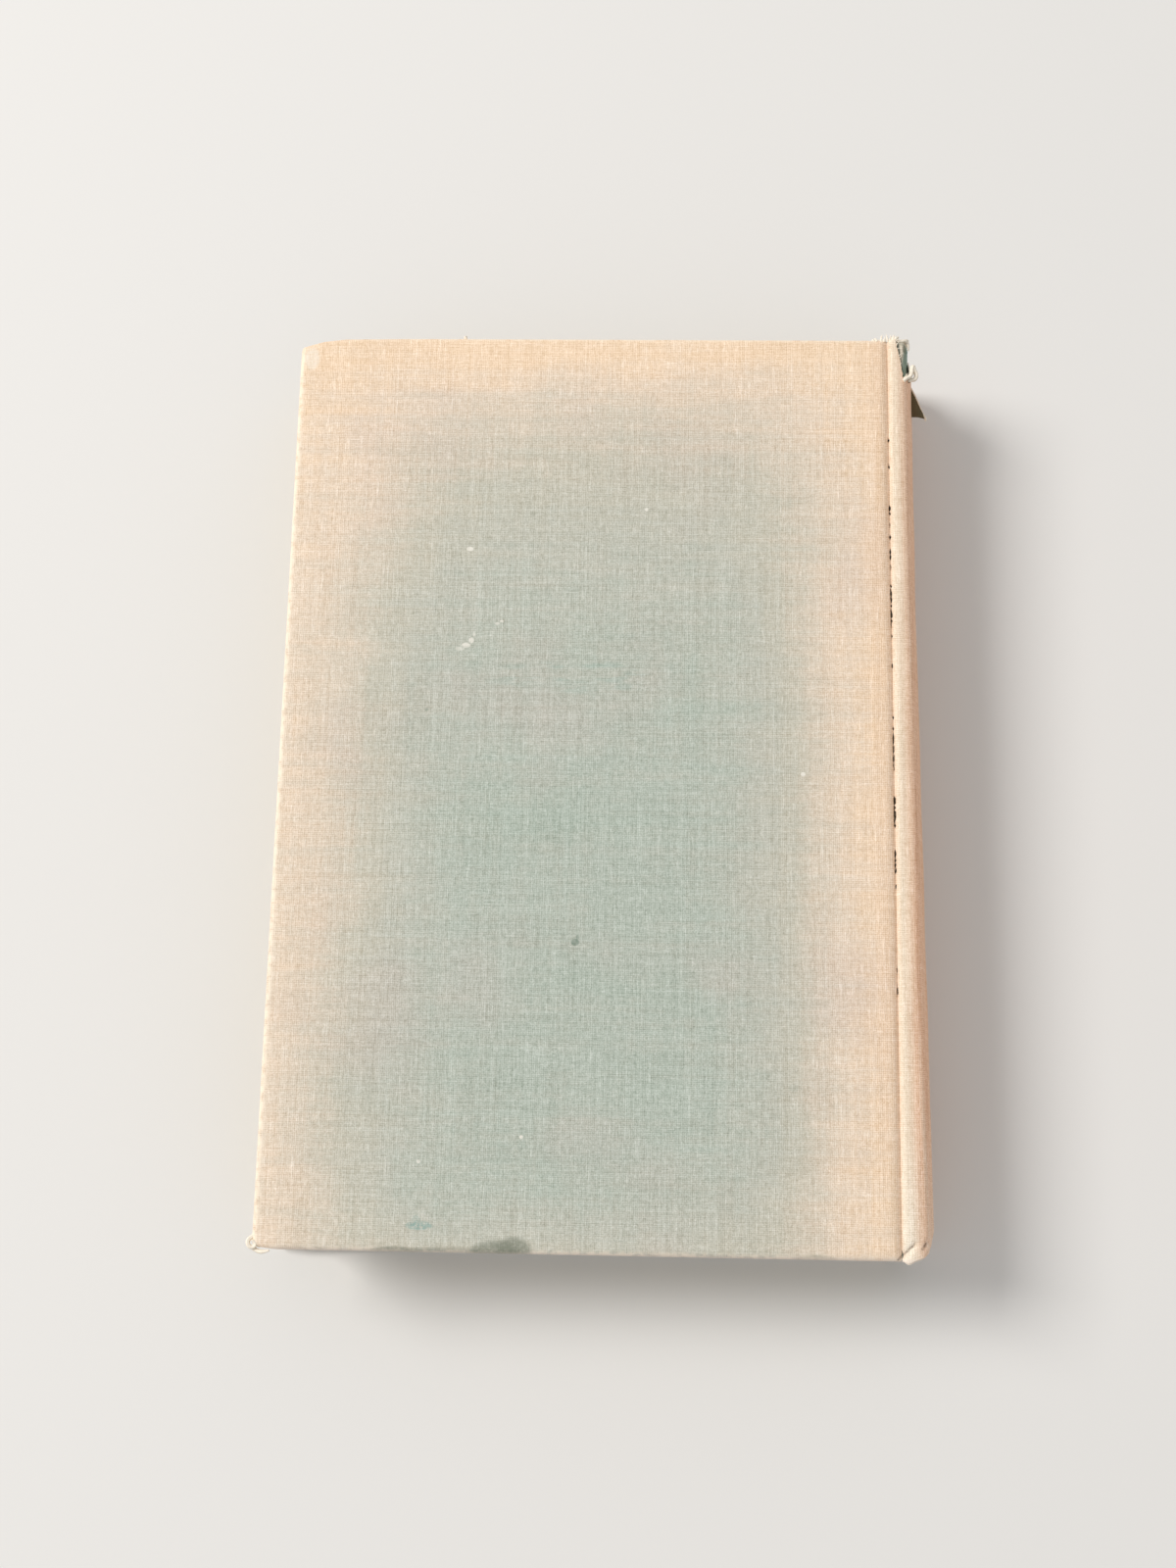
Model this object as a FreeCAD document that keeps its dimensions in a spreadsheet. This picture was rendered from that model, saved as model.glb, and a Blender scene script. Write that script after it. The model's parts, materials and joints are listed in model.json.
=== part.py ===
import FreeCAD, Part
import os
import re
import Sketcher
from FreeCAD import Placement, Rotation, Vector

# A cloth-covered hardback book, lying shut on its front cover with its spine to +X and its head to +Y.
# The case is two boards and a spine inlay inside one cloth, which is parted here at the two joints.
# Inside it lies the block of leaves, held by a strip of mull and by the two endpapers.
# Every piece is drawn about the middle of the book's thickness and about the back joint, then moved to its place.

# Driving dimensions, in millimetres, with the tear's two angles in degrees.
driving = {
    # leaves
    "page_height": 203.2,
    "page_width": 134.5,
    "block_thick": 21.8,
    "fore_edge_hollow": 3.4,
    "paper_thick": 0.15,
    "leaf_gap": 0.2,
    # rounded and backed spine of the block
    "spine_rise": 4.2,
    "root_offset": 0.4,
    "shoulder_out": 1.2,
    "shoulder_clear": 1.2,
    # boards
    "board_thick": 2.3,
    "board_ease": 0.9,
    "board_corner": 1.2,
    "board_square": 3.0,
    "bump_run": 8.5,
    "bump_drop": 2.6,
    # covering cloth
    "cloth_thick": 0.4,
    "turn_in": 15.0,
    "joint_gap": 1.2,
    "joint_clear": 0.3,
    "joint_foot": 0.3,
    "groove_depth": 1.6,
    "ridge_start": 1.1,
    "ridge_drop": 0.1,
    "ridge_round": 0.7,
    # paper, mull and card on the spine
    "mull_thick": 0.2,
    "mull_flap": 28.0,
    "mull_short": 12.0,
    "lining_thick": 0.2,
    "lining_short": 3.0,
    "hollow_gap": 0.9,
    "inlay_thick": 0.7,
    "inlay_short": 0.6,
    # headbands
    "bead_radius": 0.8,
    "tape_gap": 4.0,
    # pastedowns
    "paste_margin": 3.5,
    # torn head of the spine
    "tear_depth": 9.0,
    "tear_middle": 24.0,
    "tear_spread": 26.0,
}

# Sizes and places that follow from the driving dimensions. Levels are heights above the middle of the book.
derived = {
    "page_half": "page_height / 2",
    "block_level": "block_thick / 2",
    "leaf_level": "block_level + paper_thick",
    "paste_level": "leaf_level + leaf_gap",
    "turn_level": "paste_level + paper_thick",
    "board_inside": "turn_level + cloth_thick",
    "board_outside": "board_inside + board_thick",
    "cover_level": "board_outside + cloth_thick",
    "sunk_level": "board_inside - mull_thick",
    "groove_level": "cover_level - groove_depth",
    "ridge_level": "cover_level - ridge_drop",
    "tip_level": "board_outside - shoulder_clear",
    # plan places, measured from the joint line
    "page_fore": "root_offset - page_width",
    "board_fore": "page_fore - board_square",
    "cover_fore": "board_fore - cloth_thick",
    "cover_spine": "-joint_gap",
    "board_spine": "cover_spine - cloth_thick",
    "board_half": "page_half + board_square",
    "cover_half": "board_half + cloth_thick",
    # arcs of the spine, all about one centre
    "spine_radius": "(tip_level ^ 2 + spine_rise ^ 2) / (2 * spine_rise)",
    "arc_centre": "shoulder_out + spine_rise - spine_radius",
    "mull_radius": "spine_radius + mull_thick",
    "lining_radius": "mull_radius + lining_thick",
    "inlay_radius": "lining_radius + hollow_gap",
    "wrap_radius": "inlay_radius + inlay_thick",
    "cover_radius": "wrap_radius + cloth_thick",
    "turned_radius": "inlay_radius - cloth_thick",
    "block_angle": "asin(tip_level / spine_radius)",
    "inlay_angle": "asin((ridge_level - cloth_thick - ridge_round) / wrap_radius)",
    "inlay_half": "cover_half - cloth_thick - inlay_short",
    "tape_start": "page_half - mull_short + tape_gap",
    "middle_x": "(arc_centre + cover_radius + cover_fore) / 2",
}

document = FreeCAD.newDocument("hardback_book")
sheet = document.addObject("Spreadsheet::Sheet", "sizes")
for row, (alias, size) in enumerate(driving.items(), start=1):
    sheet.set(f"A{row}", alias)
    sheet.set(f"B{row}", str(size))
    sheet.setAlias(f"B{row}", alias)
document.recompute()


def bound(text):
    """The expression with each size's name made a reference to the sheet, and each derived name written out."""

    def written_out(found):
        name = found.group(0)
        if name in derived:
            return f"({bound(derived[name])})"
        return f"sizes.{name}" if name in driving else name

    return re.sub(r"[a-z_]+", written_out, str(text))


def value(text):
    return float(sheet.evalExpression(bound(text)))


def new_body(label, at_arc_centre=False, turned_over=False):
    """A body at the joint line or at the spine's arc centre, the right way up or turned over for the front cover."""
    body = document.addObject("PartDesign::Body", label)
    body.Label = label
    turn = 180 if turned_over else 0
    body.Placement = Placement(Vector(), Rotation(Vector(1, 0, 0), turn))
    across = "arc_centre - middle_x" if at_arc_centre else "-middle_x"
    body.setExpression("Placement.Base.x", bound(across))
    body.setExpression("Placement.Base.z", bound("cover_level"))
    return body


def new_sketch(body, name, plane, height="0", turn=None):
    """A sketch on the body's XY or XZ plane, raised by a height or swung about the Y axis by an angle in degrees."""
    sketch = body.newObject("Sketcher::SketchObject", name)
    support = next(f for f in body.Origin.OriginFeatures if f.Role == plane)
    sketch.AttachmentSupport = (support, "")
    sketch.MapMode = "FlatFace"
    if turn:
        sketch.AttachmentOffset = Placement(Vector(), Rotation(Vector(0, 1, 0), value(turn)))
        sketch.setExpression("AttachmentOffset.Rotation.Angle", bound(turn))
    sketch.setExpression("AttachmentOffset.Base.z", bound(height))
    return sketch


def place_point(sketch, edge, end, x, y):
    """Ties one end of an edge to a place given as two expressions."""
    for kind, text in (("DistanceX", x), ("DistanceY", y)):
        number = sketch.addConstraint(Sketcher.Constraint(kind, -1, 1, edge, end, value(text)))
        sketch.setExpression(f"Constraints[{number}]", bound(text))


def draw_outline(sketch, corners, arcs=None):
    """A closed outline through the corners. An entry of arcs gives, for the side after that corner, the arc's centre
    on the X axis and its sense: 1 for an arc that runs anticlockwise, -1 for one that runs clockwise."""
    arcs = arcs or {}
    points = [Vector(value(x), value(y), 0) for x, y in corners]
    starts, ends = [], []
    for side, (first, second) in enumerate(zip(points, points[1:] + points[:1])):
        if side not in arcs:
            edge = sketch.addGeometry(Part.LineSegment(first, second), False)
            starts.append((edge, 1))
            ends.append((edge, 2))
            continue
        centre_text, sense = arcs[side]
        centre = Vector(value(centre_text), 0, 0)
        reach = (first - centre).Length
        low, high = (first, second) if sense > 0 else (second, first)
        turns = [(point - centre).getAngle(Vector(1, 0, 0)) * (1 if point.y > 0 else -1) for point in (low, high)]
        circle = Part.Circle(centre, Vector(0, 0, 1), reach)
        edge = sketch.addGeometry(Part.ArcOfCircle(circle, turns[0], turns[1]), False)
        starts.append((edge, 1 if sense > 0 else 2))
        ends.append((edge, 2 if sense > 0 else 1))
        # An arc between two placed corners still needs its centre's height above the X axis
        sketch.addConstraint(Sketcher.Constraint("PointOnObject", edge, 3, -1))
        number = sketch.addConstraint(Sketcher.Constraint("DistanceX", -1, 1, edge, 3, value(centre_text)))
        sketch.setExpression(f"Constraints[{number}]", bound(centre_text))
    for side, (end, start) in enumerate(zip(ends, starts[1:] + starts[:1])):
        sketch.addConstraint(Sketcher.Constraint("Coincident", end[0], end[1], start[0], start[1]))
        x, y = corners[(side + 1) % len(corners)]
        if side in arcs:
            # The arc's far corner mirrors its near one, so only its height is free
            number = sketch.addConstraint(Sketcher.Constraint("DistanceY", -1, 1, start[0], start[1], value(y)))
            sketch.setExpression(f"Constraints[{number}]", bound(y))
        else:
            place_point(sketch, start[0], start[1], x, y)


def draw_rectangle(sketch, left, right, low, high):
    draw_outline(sketch, [(left, low), (right, low), (right, high), (left, high)])


def pad(body, sketch, length, both_ways=False, pocket=False, reverse=False):
    """A pad or a pocket of a sketch, one way or to both sides."""
    kind = "Pocket" if pocket else "Pad"
    feature = body.newObject(f"PartDesign::{kind}", f"{sketch.Name}_{kind}")
    feature.Profile = sketch
    feature.Type = "Length"
    feature.SideType = "Symmetric" if both_ways else "One side"
    feature.Reversed = reverse
    feature.setExpression("Length", bound(length))
    sketch.Visibility = False
    return feature


def cut(body, sketch, length, both_ways=False):
    """A pocket towards +Z of the sketch, with a check that it takes something away."""
    document.recompute()
    before = body.Shape.Volume
    feature = pad(body, sketch, length, both_ways, pocket=True, reverse=True)
    document.recompute()
    if body.Shape.Volume > before - 1e-3:
        raise RuntimeError(f"{feature.Name} cuts nothing")
    return feature


def revolve(body, sketch, angle, groove=False):
    """The sketch swung about its own Y axis by an angle, half to each side."""
    document.recompute()
    before = body.Shape.Volume if groove else 0
    kind = "Groove" if groove else "Revolution"
    feature = body.newObject(f"PartDesign::{kind}", f"{sketch.Name}_{kind}")
    feature.Profile = sketch
    feature.ReferenceAxis = (sketch, ["V_Axis"])
    feature.Midplane = True
    feature.setExpression("Angle", bound(angle))
    document.recompute()
    if groove and body.Shape.Volume > before - 1e-3:
        raise RuntimeError(f"{feature.Name} cuts nothing")
    return feature


def round_edges(body, feature, name, radius, wanted):
    """Rounds the edges of the feature that the test picks."""
    document.recompute()
    picked = [f"Edge{n}" for n, edge in enumerate(feature.Shape.Edges, start=1) if wanted(edge)]
    if not picked:
        raise RuntimeError(f"{name} finds no edge")
    fillet = body.newObject("PartDesign::Fillet", name)
    fillet.Base = (feature, picked)
    fillet.setExpression("Radius", bound(radius))
    document.recompute()
    return fillet


def at_height(height):
    """Tests whether an edge lies all at one height."""
    return lambda edge: all(abs(vertex.Z - value(height)) < 1e-4 for vertex in edge.Vertexes)


def upright(edge):
    """Tests whether a straight edge stands along Z."""
    low, high = edge.Vertexes[0].Point, edge.Vertexes[-1].Point
    return (high - low).Length > 1e-6 and abs(abs((high - low).normalize().z) - 1) < 1e-6


def cover_outline(fore, spine, half, bumped):
    """The plan of a cover. The back cover's fore-edge corner at the head is knocked in."""
    corners = [(fore, f"-({half})"), (spine, f"-({half})"), (spine, half)]
    if bumped:
        return corners + [(f"{fore} + bump_run", half), (fore, f"{half} - bump_drop")]
    return corners + [(fore, half)]


def make_board(label, front):
    body = new_body(label, turned_over=front)
    plan = new_sketch(body, f"{label}_plan", "XY_Plane", "board_inside")
    draw_outline(plan, cover_outline("board_fore", "board_spine", "board_half", not front))
    sheet_of_board = pad(body, plan, "board_thick")
    corners = round_edges(body, sheet_of_board, f"{label}_corners", "board_corner", upright)
    rims = lambda edge: at_height("board_inside")(edge) or at_height("board_outside")(edge)
    round_edges(body, corners, f"{label}_eased", "board_ease", rims)
    return body


def make_cover_cloth(label, front):
    """The cloth over one board: its outer face, its four edges and the turn-ins along three of them."""
    body = new_body(label, turned_over=front)
    outside = new_sketch(body, f"{label}_outside", "XY_Plane", "turn_level")
    draw_outline(outside, cover_outline("cover_fore", "cover_spine", "cover_half", not front))
    whole = pad(body, outside, "cover_level - turn_level")
    corners = round_edges(body, whole, f"{label}_corners", "board_corner + cloth_thick", upright)
    round_edges(body, corners, f"{label}_edges", "board_ease + cloth_thick", at_height("cover_level"))
    window = new_sketch(body, f"{label}_window", "XY_Plane", "turn_level")
    opening = "board_half - turn_in"
    draw_rectangle(window, "board_fore + turn_in", "cover_spine + cloth_thick", f"-({opening})", opening)
    cut(body, window, "cloth_thick")
    inside = new_sketch(body, f"{label}_inside", "XY_Plane", "board_inside")
    draw_outline(inside, cover_outline("board_fore", "board_spine", "board_half", not front))
    cut(body, inside, "board_thick")
    return body


def make_mull_flap(label, front):
    """The flap of mull pasted to the inside of a board, along its spine edge."""
    body = new_body(label, turned_over=front)
    plan = new_sketch(body, f"{label}_plan", "XY_Plane", "sunk_level")
    end = "page_half - mull_short"
    draw_rectangle(plan, "board_spine - mull_flap", "board_spine", f"-({end})", end)
    pad(body, plan, "mull_thick")
    return body


def make_pastedown(label, front):
    """The half of an endpaper pasted to a cover. It lies on the turn-ins, and sinks between them onto the mull."""
    body = new_body(label, turned_over=front)
    outer = new_sketch(body, f"{label}_outer", "XY_Plane", "paste_level")
    reach = "board_half - paste_margin"
    draw_rectangle(outer, "board_fore + paste_margin", "board_spine", f"-({reach})", reach)
    pad(body, outer, "paper_thick")
    between = "board_half - turn_in - paper_thick"
    raised = new_sketch(body, f"{label}_raised", "XY_Plane", "turn_level")
    draw_rectangle(raised, "board_fore + turn_in + paper_thick", "board_spine", f"-({between})", between)
    pad(body, raised, "sunk_level - turn_level")
    hollow = f"{between} - 2 * paper_thick"
    sunk = new_sketch(body, f"{label}_sunk", "XY_Plane", "paste_level")
    draw_rectangle(sunk, "board_fore + turn_in + 3 * paper_thick", "board_spine + paper_thick", f"-({hollow})", hollow)
    cut(body, sunk, "sunk_level - turn_level")
    return body


def make_flyleaf(label, front):
    """The free half of an endpaper, lying on the block."""
    body = new_body(label, turned_over=front)
    plan = new_sketch(body, f"{label}_plan", "XY_Plane", "block_level")
    draw_rectangle(plan, "page_fore", "root_offset", "-page_half", "page_half")
    pad(body, plan, "paper_thick")
    return body


def make_text_block(label):
    """All the leaves as one solid: hollow at the fore edge, rounded at the spine, with a shoulder along each joint."""
    body = new_body(label)
    section = new_sketch(body, f"{label}_section", "XZ_Plane")
    hollow_centre = "page_fore + fore_edge_hollow - (block_level ^ 2 + fore_edge_hollow ^ 2) / (2 * fore_edge_hollow)"
    corners = [
        ("page_fore", "-block_level"),
        ("root_offset", "-block_level"),
        ("shoulder_out", "-tip_level"),
        ("shoulder_out", "tip_level"),
        ("root_offset", "block_level"),
        ("page_fore", "block_level"),
    ]
    draw_outline(section, corners, {2: ("arc_centre", 1), 5: (hollow_centre, -1)})
    pad(body, section, "page_height", both_ways=True)
    return body


def make_spine_shell(label, inner, thick, half, angle):
    """A strip bent round the spine, about the spine's arc centre."""
    body = new_body(label, at_arc_centre=True)
    strip = new_sketch(body, f"{label}_strip", "XY_Plane")
    draw_rectangle(strip, inner, f"{inner} + {thick}", f"-({half})", half)
    revolve(body, strip, f"2 * {angle}")
    return body


def make_headband(label, at_tail):
    """A corded bead on the end of the leaves, with the tape that glues it to the spine."""
    body = new_body(label, at_arc_centre=True, turned_over=at_tail)
    tape = new_sketch(body, f"{label}_tape", "XY_Plane")
    draw_rectangle(tape, "spine_radius", "mull_radius", "tape_start", "page_half + bead_radius")
    revolve(body, tape, "2 * block_angle")
    bead = new_sketch(body, f"{label}_bead", "XY_Plane")
    centre = Vector(value("mull_radius - bead_radius"), value("page_half + bead_radius"), 0)
    circle = bead.addGeometry(Part.Circle(centre, Vector(0, 0, 1), value("bead_radius")), False)
    place_point(bead, circle, 3, "mull_radius - bead_radius", "page_half + bead_radius")
    number = bead.addConstraint(Sketcher.Constraint("Radius", circle, value("bead_radius")))
    bead.setExpression(f"Constraints[{number}]", bound("bead_radius"))
    revolve(body, bead, "2 * block_angle")
    return body


def spine_section(inset, past_end):
    """Corners of the spine cloth's section about its arc centre, moved inwards by the cloth's thickness or by 0."""
    lap = f"joint_clear - joint_gap - {past_end} - arc_centre"
    foot = f"joint_foot + {inset} / 2 - arc_centre"
    crest = f"ridge_start + {inset} / 2 - arc_centre"
    groove, ridge = f"groove_level - {inset}", f"ridge_level - {inset}"
    brow = f"sqrt((cover_radius - {inset}) ^ 2 - ({ridge}) ^ 2)"
    upper = [(lap, groove), (foot, groove), (crest, ridge), (brow, ridge)]
    lower = [(x, f"-({z})") for x, z in upper]
    return lower + upper[::-1]


def make_spine_cloth(label):
    """The cloth round the spine, from the bottom of one groove to the other, turned in at head and tail."""
    body = new_body(label, at_arc_centre=True)
    outside = new_sketch(body, f"{label}_outside", "XZ_Plane")
    brow_side = 3
    draw_outline(outside, spine_section("0", "0"), {brow_side: ("0", 1)})
    whole = pad(body, outside, "2 * cover_half", both_ways=True)
    ridge_x, brow_x = value(spine_section("0", "0")[2][0]), value(spine_section("0", "0")[3][0])

    def on_ridge(edge):
        """Tests for the long edges at the two ends of a ridge's flat top."""
        first, last = edge.Vertexes[0].Point, edge.Vertexes[-1].Point
        along = abs((last - first).y) > value("cover_half")
        crest = abs(abs(first.z) - value("ridge_level")) < 1e-4
        return along and crest and min(abs(first.x - ridge_x), abs(first.x - brow_x)) < 1e-4

    rounded = round_edges(body, whole, f"{label}_ridges", "ridge_round", on_ridge)
    inside = new_sketch(body, f"{label}_inside", "XZ_Plane")
    draw_outline(inside, spine_section("cloth_thick", "1"), {brow_side: ("0", 1)})
    cut(body, inside, "2 * cover_half + 2", both_ways=True)
    for end, sign in (("head", ""), ("tail", "-")):
        turned = new_sketch(body, f"{label}_{end}_turn_in", "XY_Plane")
        fold = [
            ("turned_radius", f"{sign}(cover_half - turn_in)"),
            ("inlay_radius", f"{sign}(cover_half - turn_in)"),
            ("inlay_radius", f"{sign}inlay_half"),
            ("wrap_radius + cloth_thick / 2", f"{sign}inlay_half"),
            ("wrap_radius + cloth_thick / 2", f"{sign}cover_half"),
            ("turned_radius", f"{sign}cover_half"),
        ]
        draw_outline(turned, fold)
        revolve(body, turned, "2 * inlay_angle")
    torn = new_sketch(body, f"{label}_torn", "XY_Plane", turn="-tear_middle")
    draw_rectangle(torn, "wrap_radius", "cover_radius + 1", "cover_half - tear_depth", "cover_half + 1")
    revolve(body, torn, "tear_spread", groove=True)
    return body


for side, front in (("back", False), ("front", True)):
    make_board(f"{side}_board", front)
    make_cover_cloth(f"{side}_cover_cloth", front)
    make_mull_flap(f"{side}_mull_flap", front)
    make_pastedown(f"{side}_pastedown", front)
    make_flyleaf(f"{side}_flyleaf", front)
make_text_block("text_block")
make_spine_shell("spine_mull", "spine_radius", "mull_thick", "page_half - mull_short", "block_angle")
make_spine_shell("spine_lining", "mull_radius", "lining_thick", "page_half - lining_short", "block_angle")
make_spine_shell("spine_inlay", "inlay_radius", "inlay_thick", "inlay_half", "inlay_angle")
make_headband("head_band", at_tail=False)
make_headband("tail_band", at_tail=True)
make_spine_cloth("spine_cloth")

document.recompute()
failed = [item.Name for item in document.Objects if {"Invalid", "Error"} & set(item.State)]
if failed:
    raise RuntimeError(f"these did not build: {failed}")
os.makedirs("parts", exist_ok=True)
for body in document.findObjects("PartDesign::Body"):
    shape = body.Shape
    if shape.isNull() or not shape.isValid() or not shape.Solids:
        raise RuntimeError(f"{body.Label} is not a sound solid")
    shape.exportStep(f"parts/{body.Label}.step")
    print(f"{body.Label}: {len(shape.Solids)} solid, {shape.Volume:.1f} mm3")
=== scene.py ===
import json
import math
import random

import bmesh
import bpy
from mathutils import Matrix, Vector, noise


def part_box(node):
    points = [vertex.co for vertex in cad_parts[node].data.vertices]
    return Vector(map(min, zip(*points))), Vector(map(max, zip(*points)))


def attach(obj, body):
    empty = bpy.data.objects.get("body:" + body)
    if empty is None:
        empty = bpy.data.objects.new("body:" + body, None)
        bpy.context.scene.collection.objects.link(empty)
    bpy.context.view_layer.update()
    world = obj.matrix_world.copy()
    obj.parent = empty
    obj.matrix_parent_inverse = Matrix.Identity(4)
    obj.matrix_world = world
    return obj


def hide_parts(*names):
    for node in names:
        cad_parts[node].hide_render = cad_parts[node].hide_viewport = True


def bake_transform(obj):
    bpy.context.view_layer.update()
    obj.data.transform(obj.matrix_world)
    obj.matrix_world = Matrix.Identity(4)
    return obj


print("book: loading the frame")
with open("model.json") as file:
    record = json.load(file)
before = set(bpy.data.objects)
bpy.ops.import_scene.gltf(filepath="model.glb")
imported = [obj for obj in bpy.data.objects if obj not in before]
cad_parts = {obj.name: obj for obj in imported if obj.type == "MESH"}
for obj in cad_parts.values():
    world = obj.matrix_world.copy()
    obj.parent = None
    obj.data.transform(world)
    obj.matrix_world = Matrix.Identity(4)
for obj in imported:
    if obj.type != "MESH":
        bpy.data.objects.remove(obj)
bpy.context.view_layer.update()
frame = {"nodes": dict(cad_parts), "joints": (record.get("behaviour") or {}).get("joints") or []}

# Places that the frame gives, in metres
mm = 0.001
backLow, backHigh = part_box("back_cover_cloth")
blockLow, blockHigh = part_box("text_block")
flyLow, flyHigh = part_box("back_flyleaf")
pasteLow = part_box("back_pastedown")[0]
jointX = next(j for j in frame["joints"] if j["child"] == "back_cover")["pos_m"][0]
topZ = backHigh.z
middleZ = topZ / 2
foreX = backLow.x
headY = backHigh.y
# the same in mm
foreMm, headMm, jointMm, middleMm = (place / mm for place in (foreX, headY, jointX, middleZ))


# Camera, floor and lights

view = {
    "aboveBoard": (16.0 * mm, -101.2 * mm, 425.5 * mm),
    "turn": (13.02, 1.96, 0.67),
    "lens": 45,
    "film": 36,
}

stage = {
    "floorSide": 24.0,
    "floorColour": (0.8, 0.79, 0.775, 1),
    "worldColour": (1.0, 0.995, 0.985, 1),
    "worldLevel": 0.53,
    "backdropLevel": 0.8,
    "keyPlace": (-1.9, 0.7, 1.85),
    "keySide": 1.1,
    "keyPower": 57.0,
    "keyColour": (1.0, 0.975, 0.94),
}


def addCamera():
    boardMiddle = Vector(((foreX + jointX) / 2, 0, topZ))
    bpy.ops.object.camera_add(location=boardMiddle + Vector(view["aboveBoard"]))
    camera = bpy.context.object
    camera.name = "camera"
    camera.rotation_mode = "ZYX"
    camera.rotation_euler = [math.radians(angle) for angle in view["turn"]]
    camera.data.lens = view["lens"]
    camera.data.sensor_width = view["film"]
    camera.data.clip_start = 0.01
    bpy.context.scene.camera = camera


def addStage():
    bpy.ops.mesh.primitive_plane_add(size=stage["floorSide"])
    floor = bpy.context.object
    floor.name = "floor"
    paint = bpy.data.materials.new("floorPaint")
    paint.use_nodes = True
    shader = paint.node_tree.nodes["Principled BSDF"]
    shader.inputs["Base Color"].default_value = stage["floorColour"]
    shader.inputs["Roughness"].default_value = 0.9
    shader.inputs["Specular IOR Level"].default_value = 0.1
    floor.data.materials.append(paint)
    world = bpy.data.worlds.new("room")
    bpy.context.scene.world = world
    world.use_nodes = True
    air = world.node_tree.nodes["Background"]
    air.inputs["Color"].default_value = stage["worldColour"]
    rays = world.node_tree.nodes.new("ShaderNodeLightPath")
    level = world.node_tree.nodes.new("ShaderNodeMapRange")
    level.inputs["To Min"].default_value = stage["worldLevel"]
    level.inputs["To Max"].default_value = stage["backdropLevel"]
    world.node_tree.links.new(rays.outputs["Is Camera Ray"], level.inputs["Value"])
    world.node_tree.links.new(level.outputs["Result"], air.inputs["Strength"])
    bpy.ops.object.light_add(type="AREA", location=stage["keyPlace"])
    key = bpy.context.object
    key.name = "key"
    key.data.size = stage["keySide"]
    key.data.energy = stage["keyPower"]
    key.data.color = stage["keyColour"]
    key.rotation_euler = (-key.location).to_track_quat("-Z", "Y").to_euler()


bpy.context.scene.view_settings.view_transform = "Standard"
addCamera()
addStage()
print("book: camera, floor and lights")


# Materials

def tone(red, green, blue):
    # a colour given on a 0 to 255 scale, as the shader wants it
    shares = [c / 255 for c in (red, green, blue)]
    return tuple(s / 12.92 if s < 0.04045 else ((s + 0.055) / 1.055) ** 2.4 for s in shares) + (1.0,)


class Wire:
    # what comes out of a node; the signs and words to reckon with it are added below
    def __init__(self, finish, socket):
        self.finish = finish
        self.socket = socket

    def maths(self, operation, *values):
        return self.finish.add("Math", {"operation": operation}, dict(enumerate(values)))

    def __rsub__(self, other):
        return self.maths("SUBTRACT", other, self)

    def decay(self):
        # 1 at nothing, and ever less above it
        return self.maths("EXPONENT", self * -1.0)

    def rise(self, low, high):
        # 0 below low, 1 above high; the other way round where high is below low
        ends = {"From Min": min(low, high), "From Max": max(low, high)}
        result = {"To Min": float(high < low), "To Max": float(high > low)}
        return self.finish.add("MapRange", {"interpolation_type": "SMOOTHSTEP"}, {"Value": self, **ends, **result})


def reckoning(operation):
    return lambda wire, *others: wire.maths(operation, wire, *others)


for word, operation in {
    "__add__": "ADD", "__radd__": "ADD", "__mul__": "MULTIPLY", "__rmul__": "MULTIPLY",
    "__sub__": "SUBTRACT", "__truediv__": "DIVIDE", "__abs__": "ABSOLUTE",
    "sine": "SINE", "larger": "MAXIMUM", "smaller": "MINIMUM",
}.items():
    setattr(Wire, word, reckoning(operation))


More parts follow.
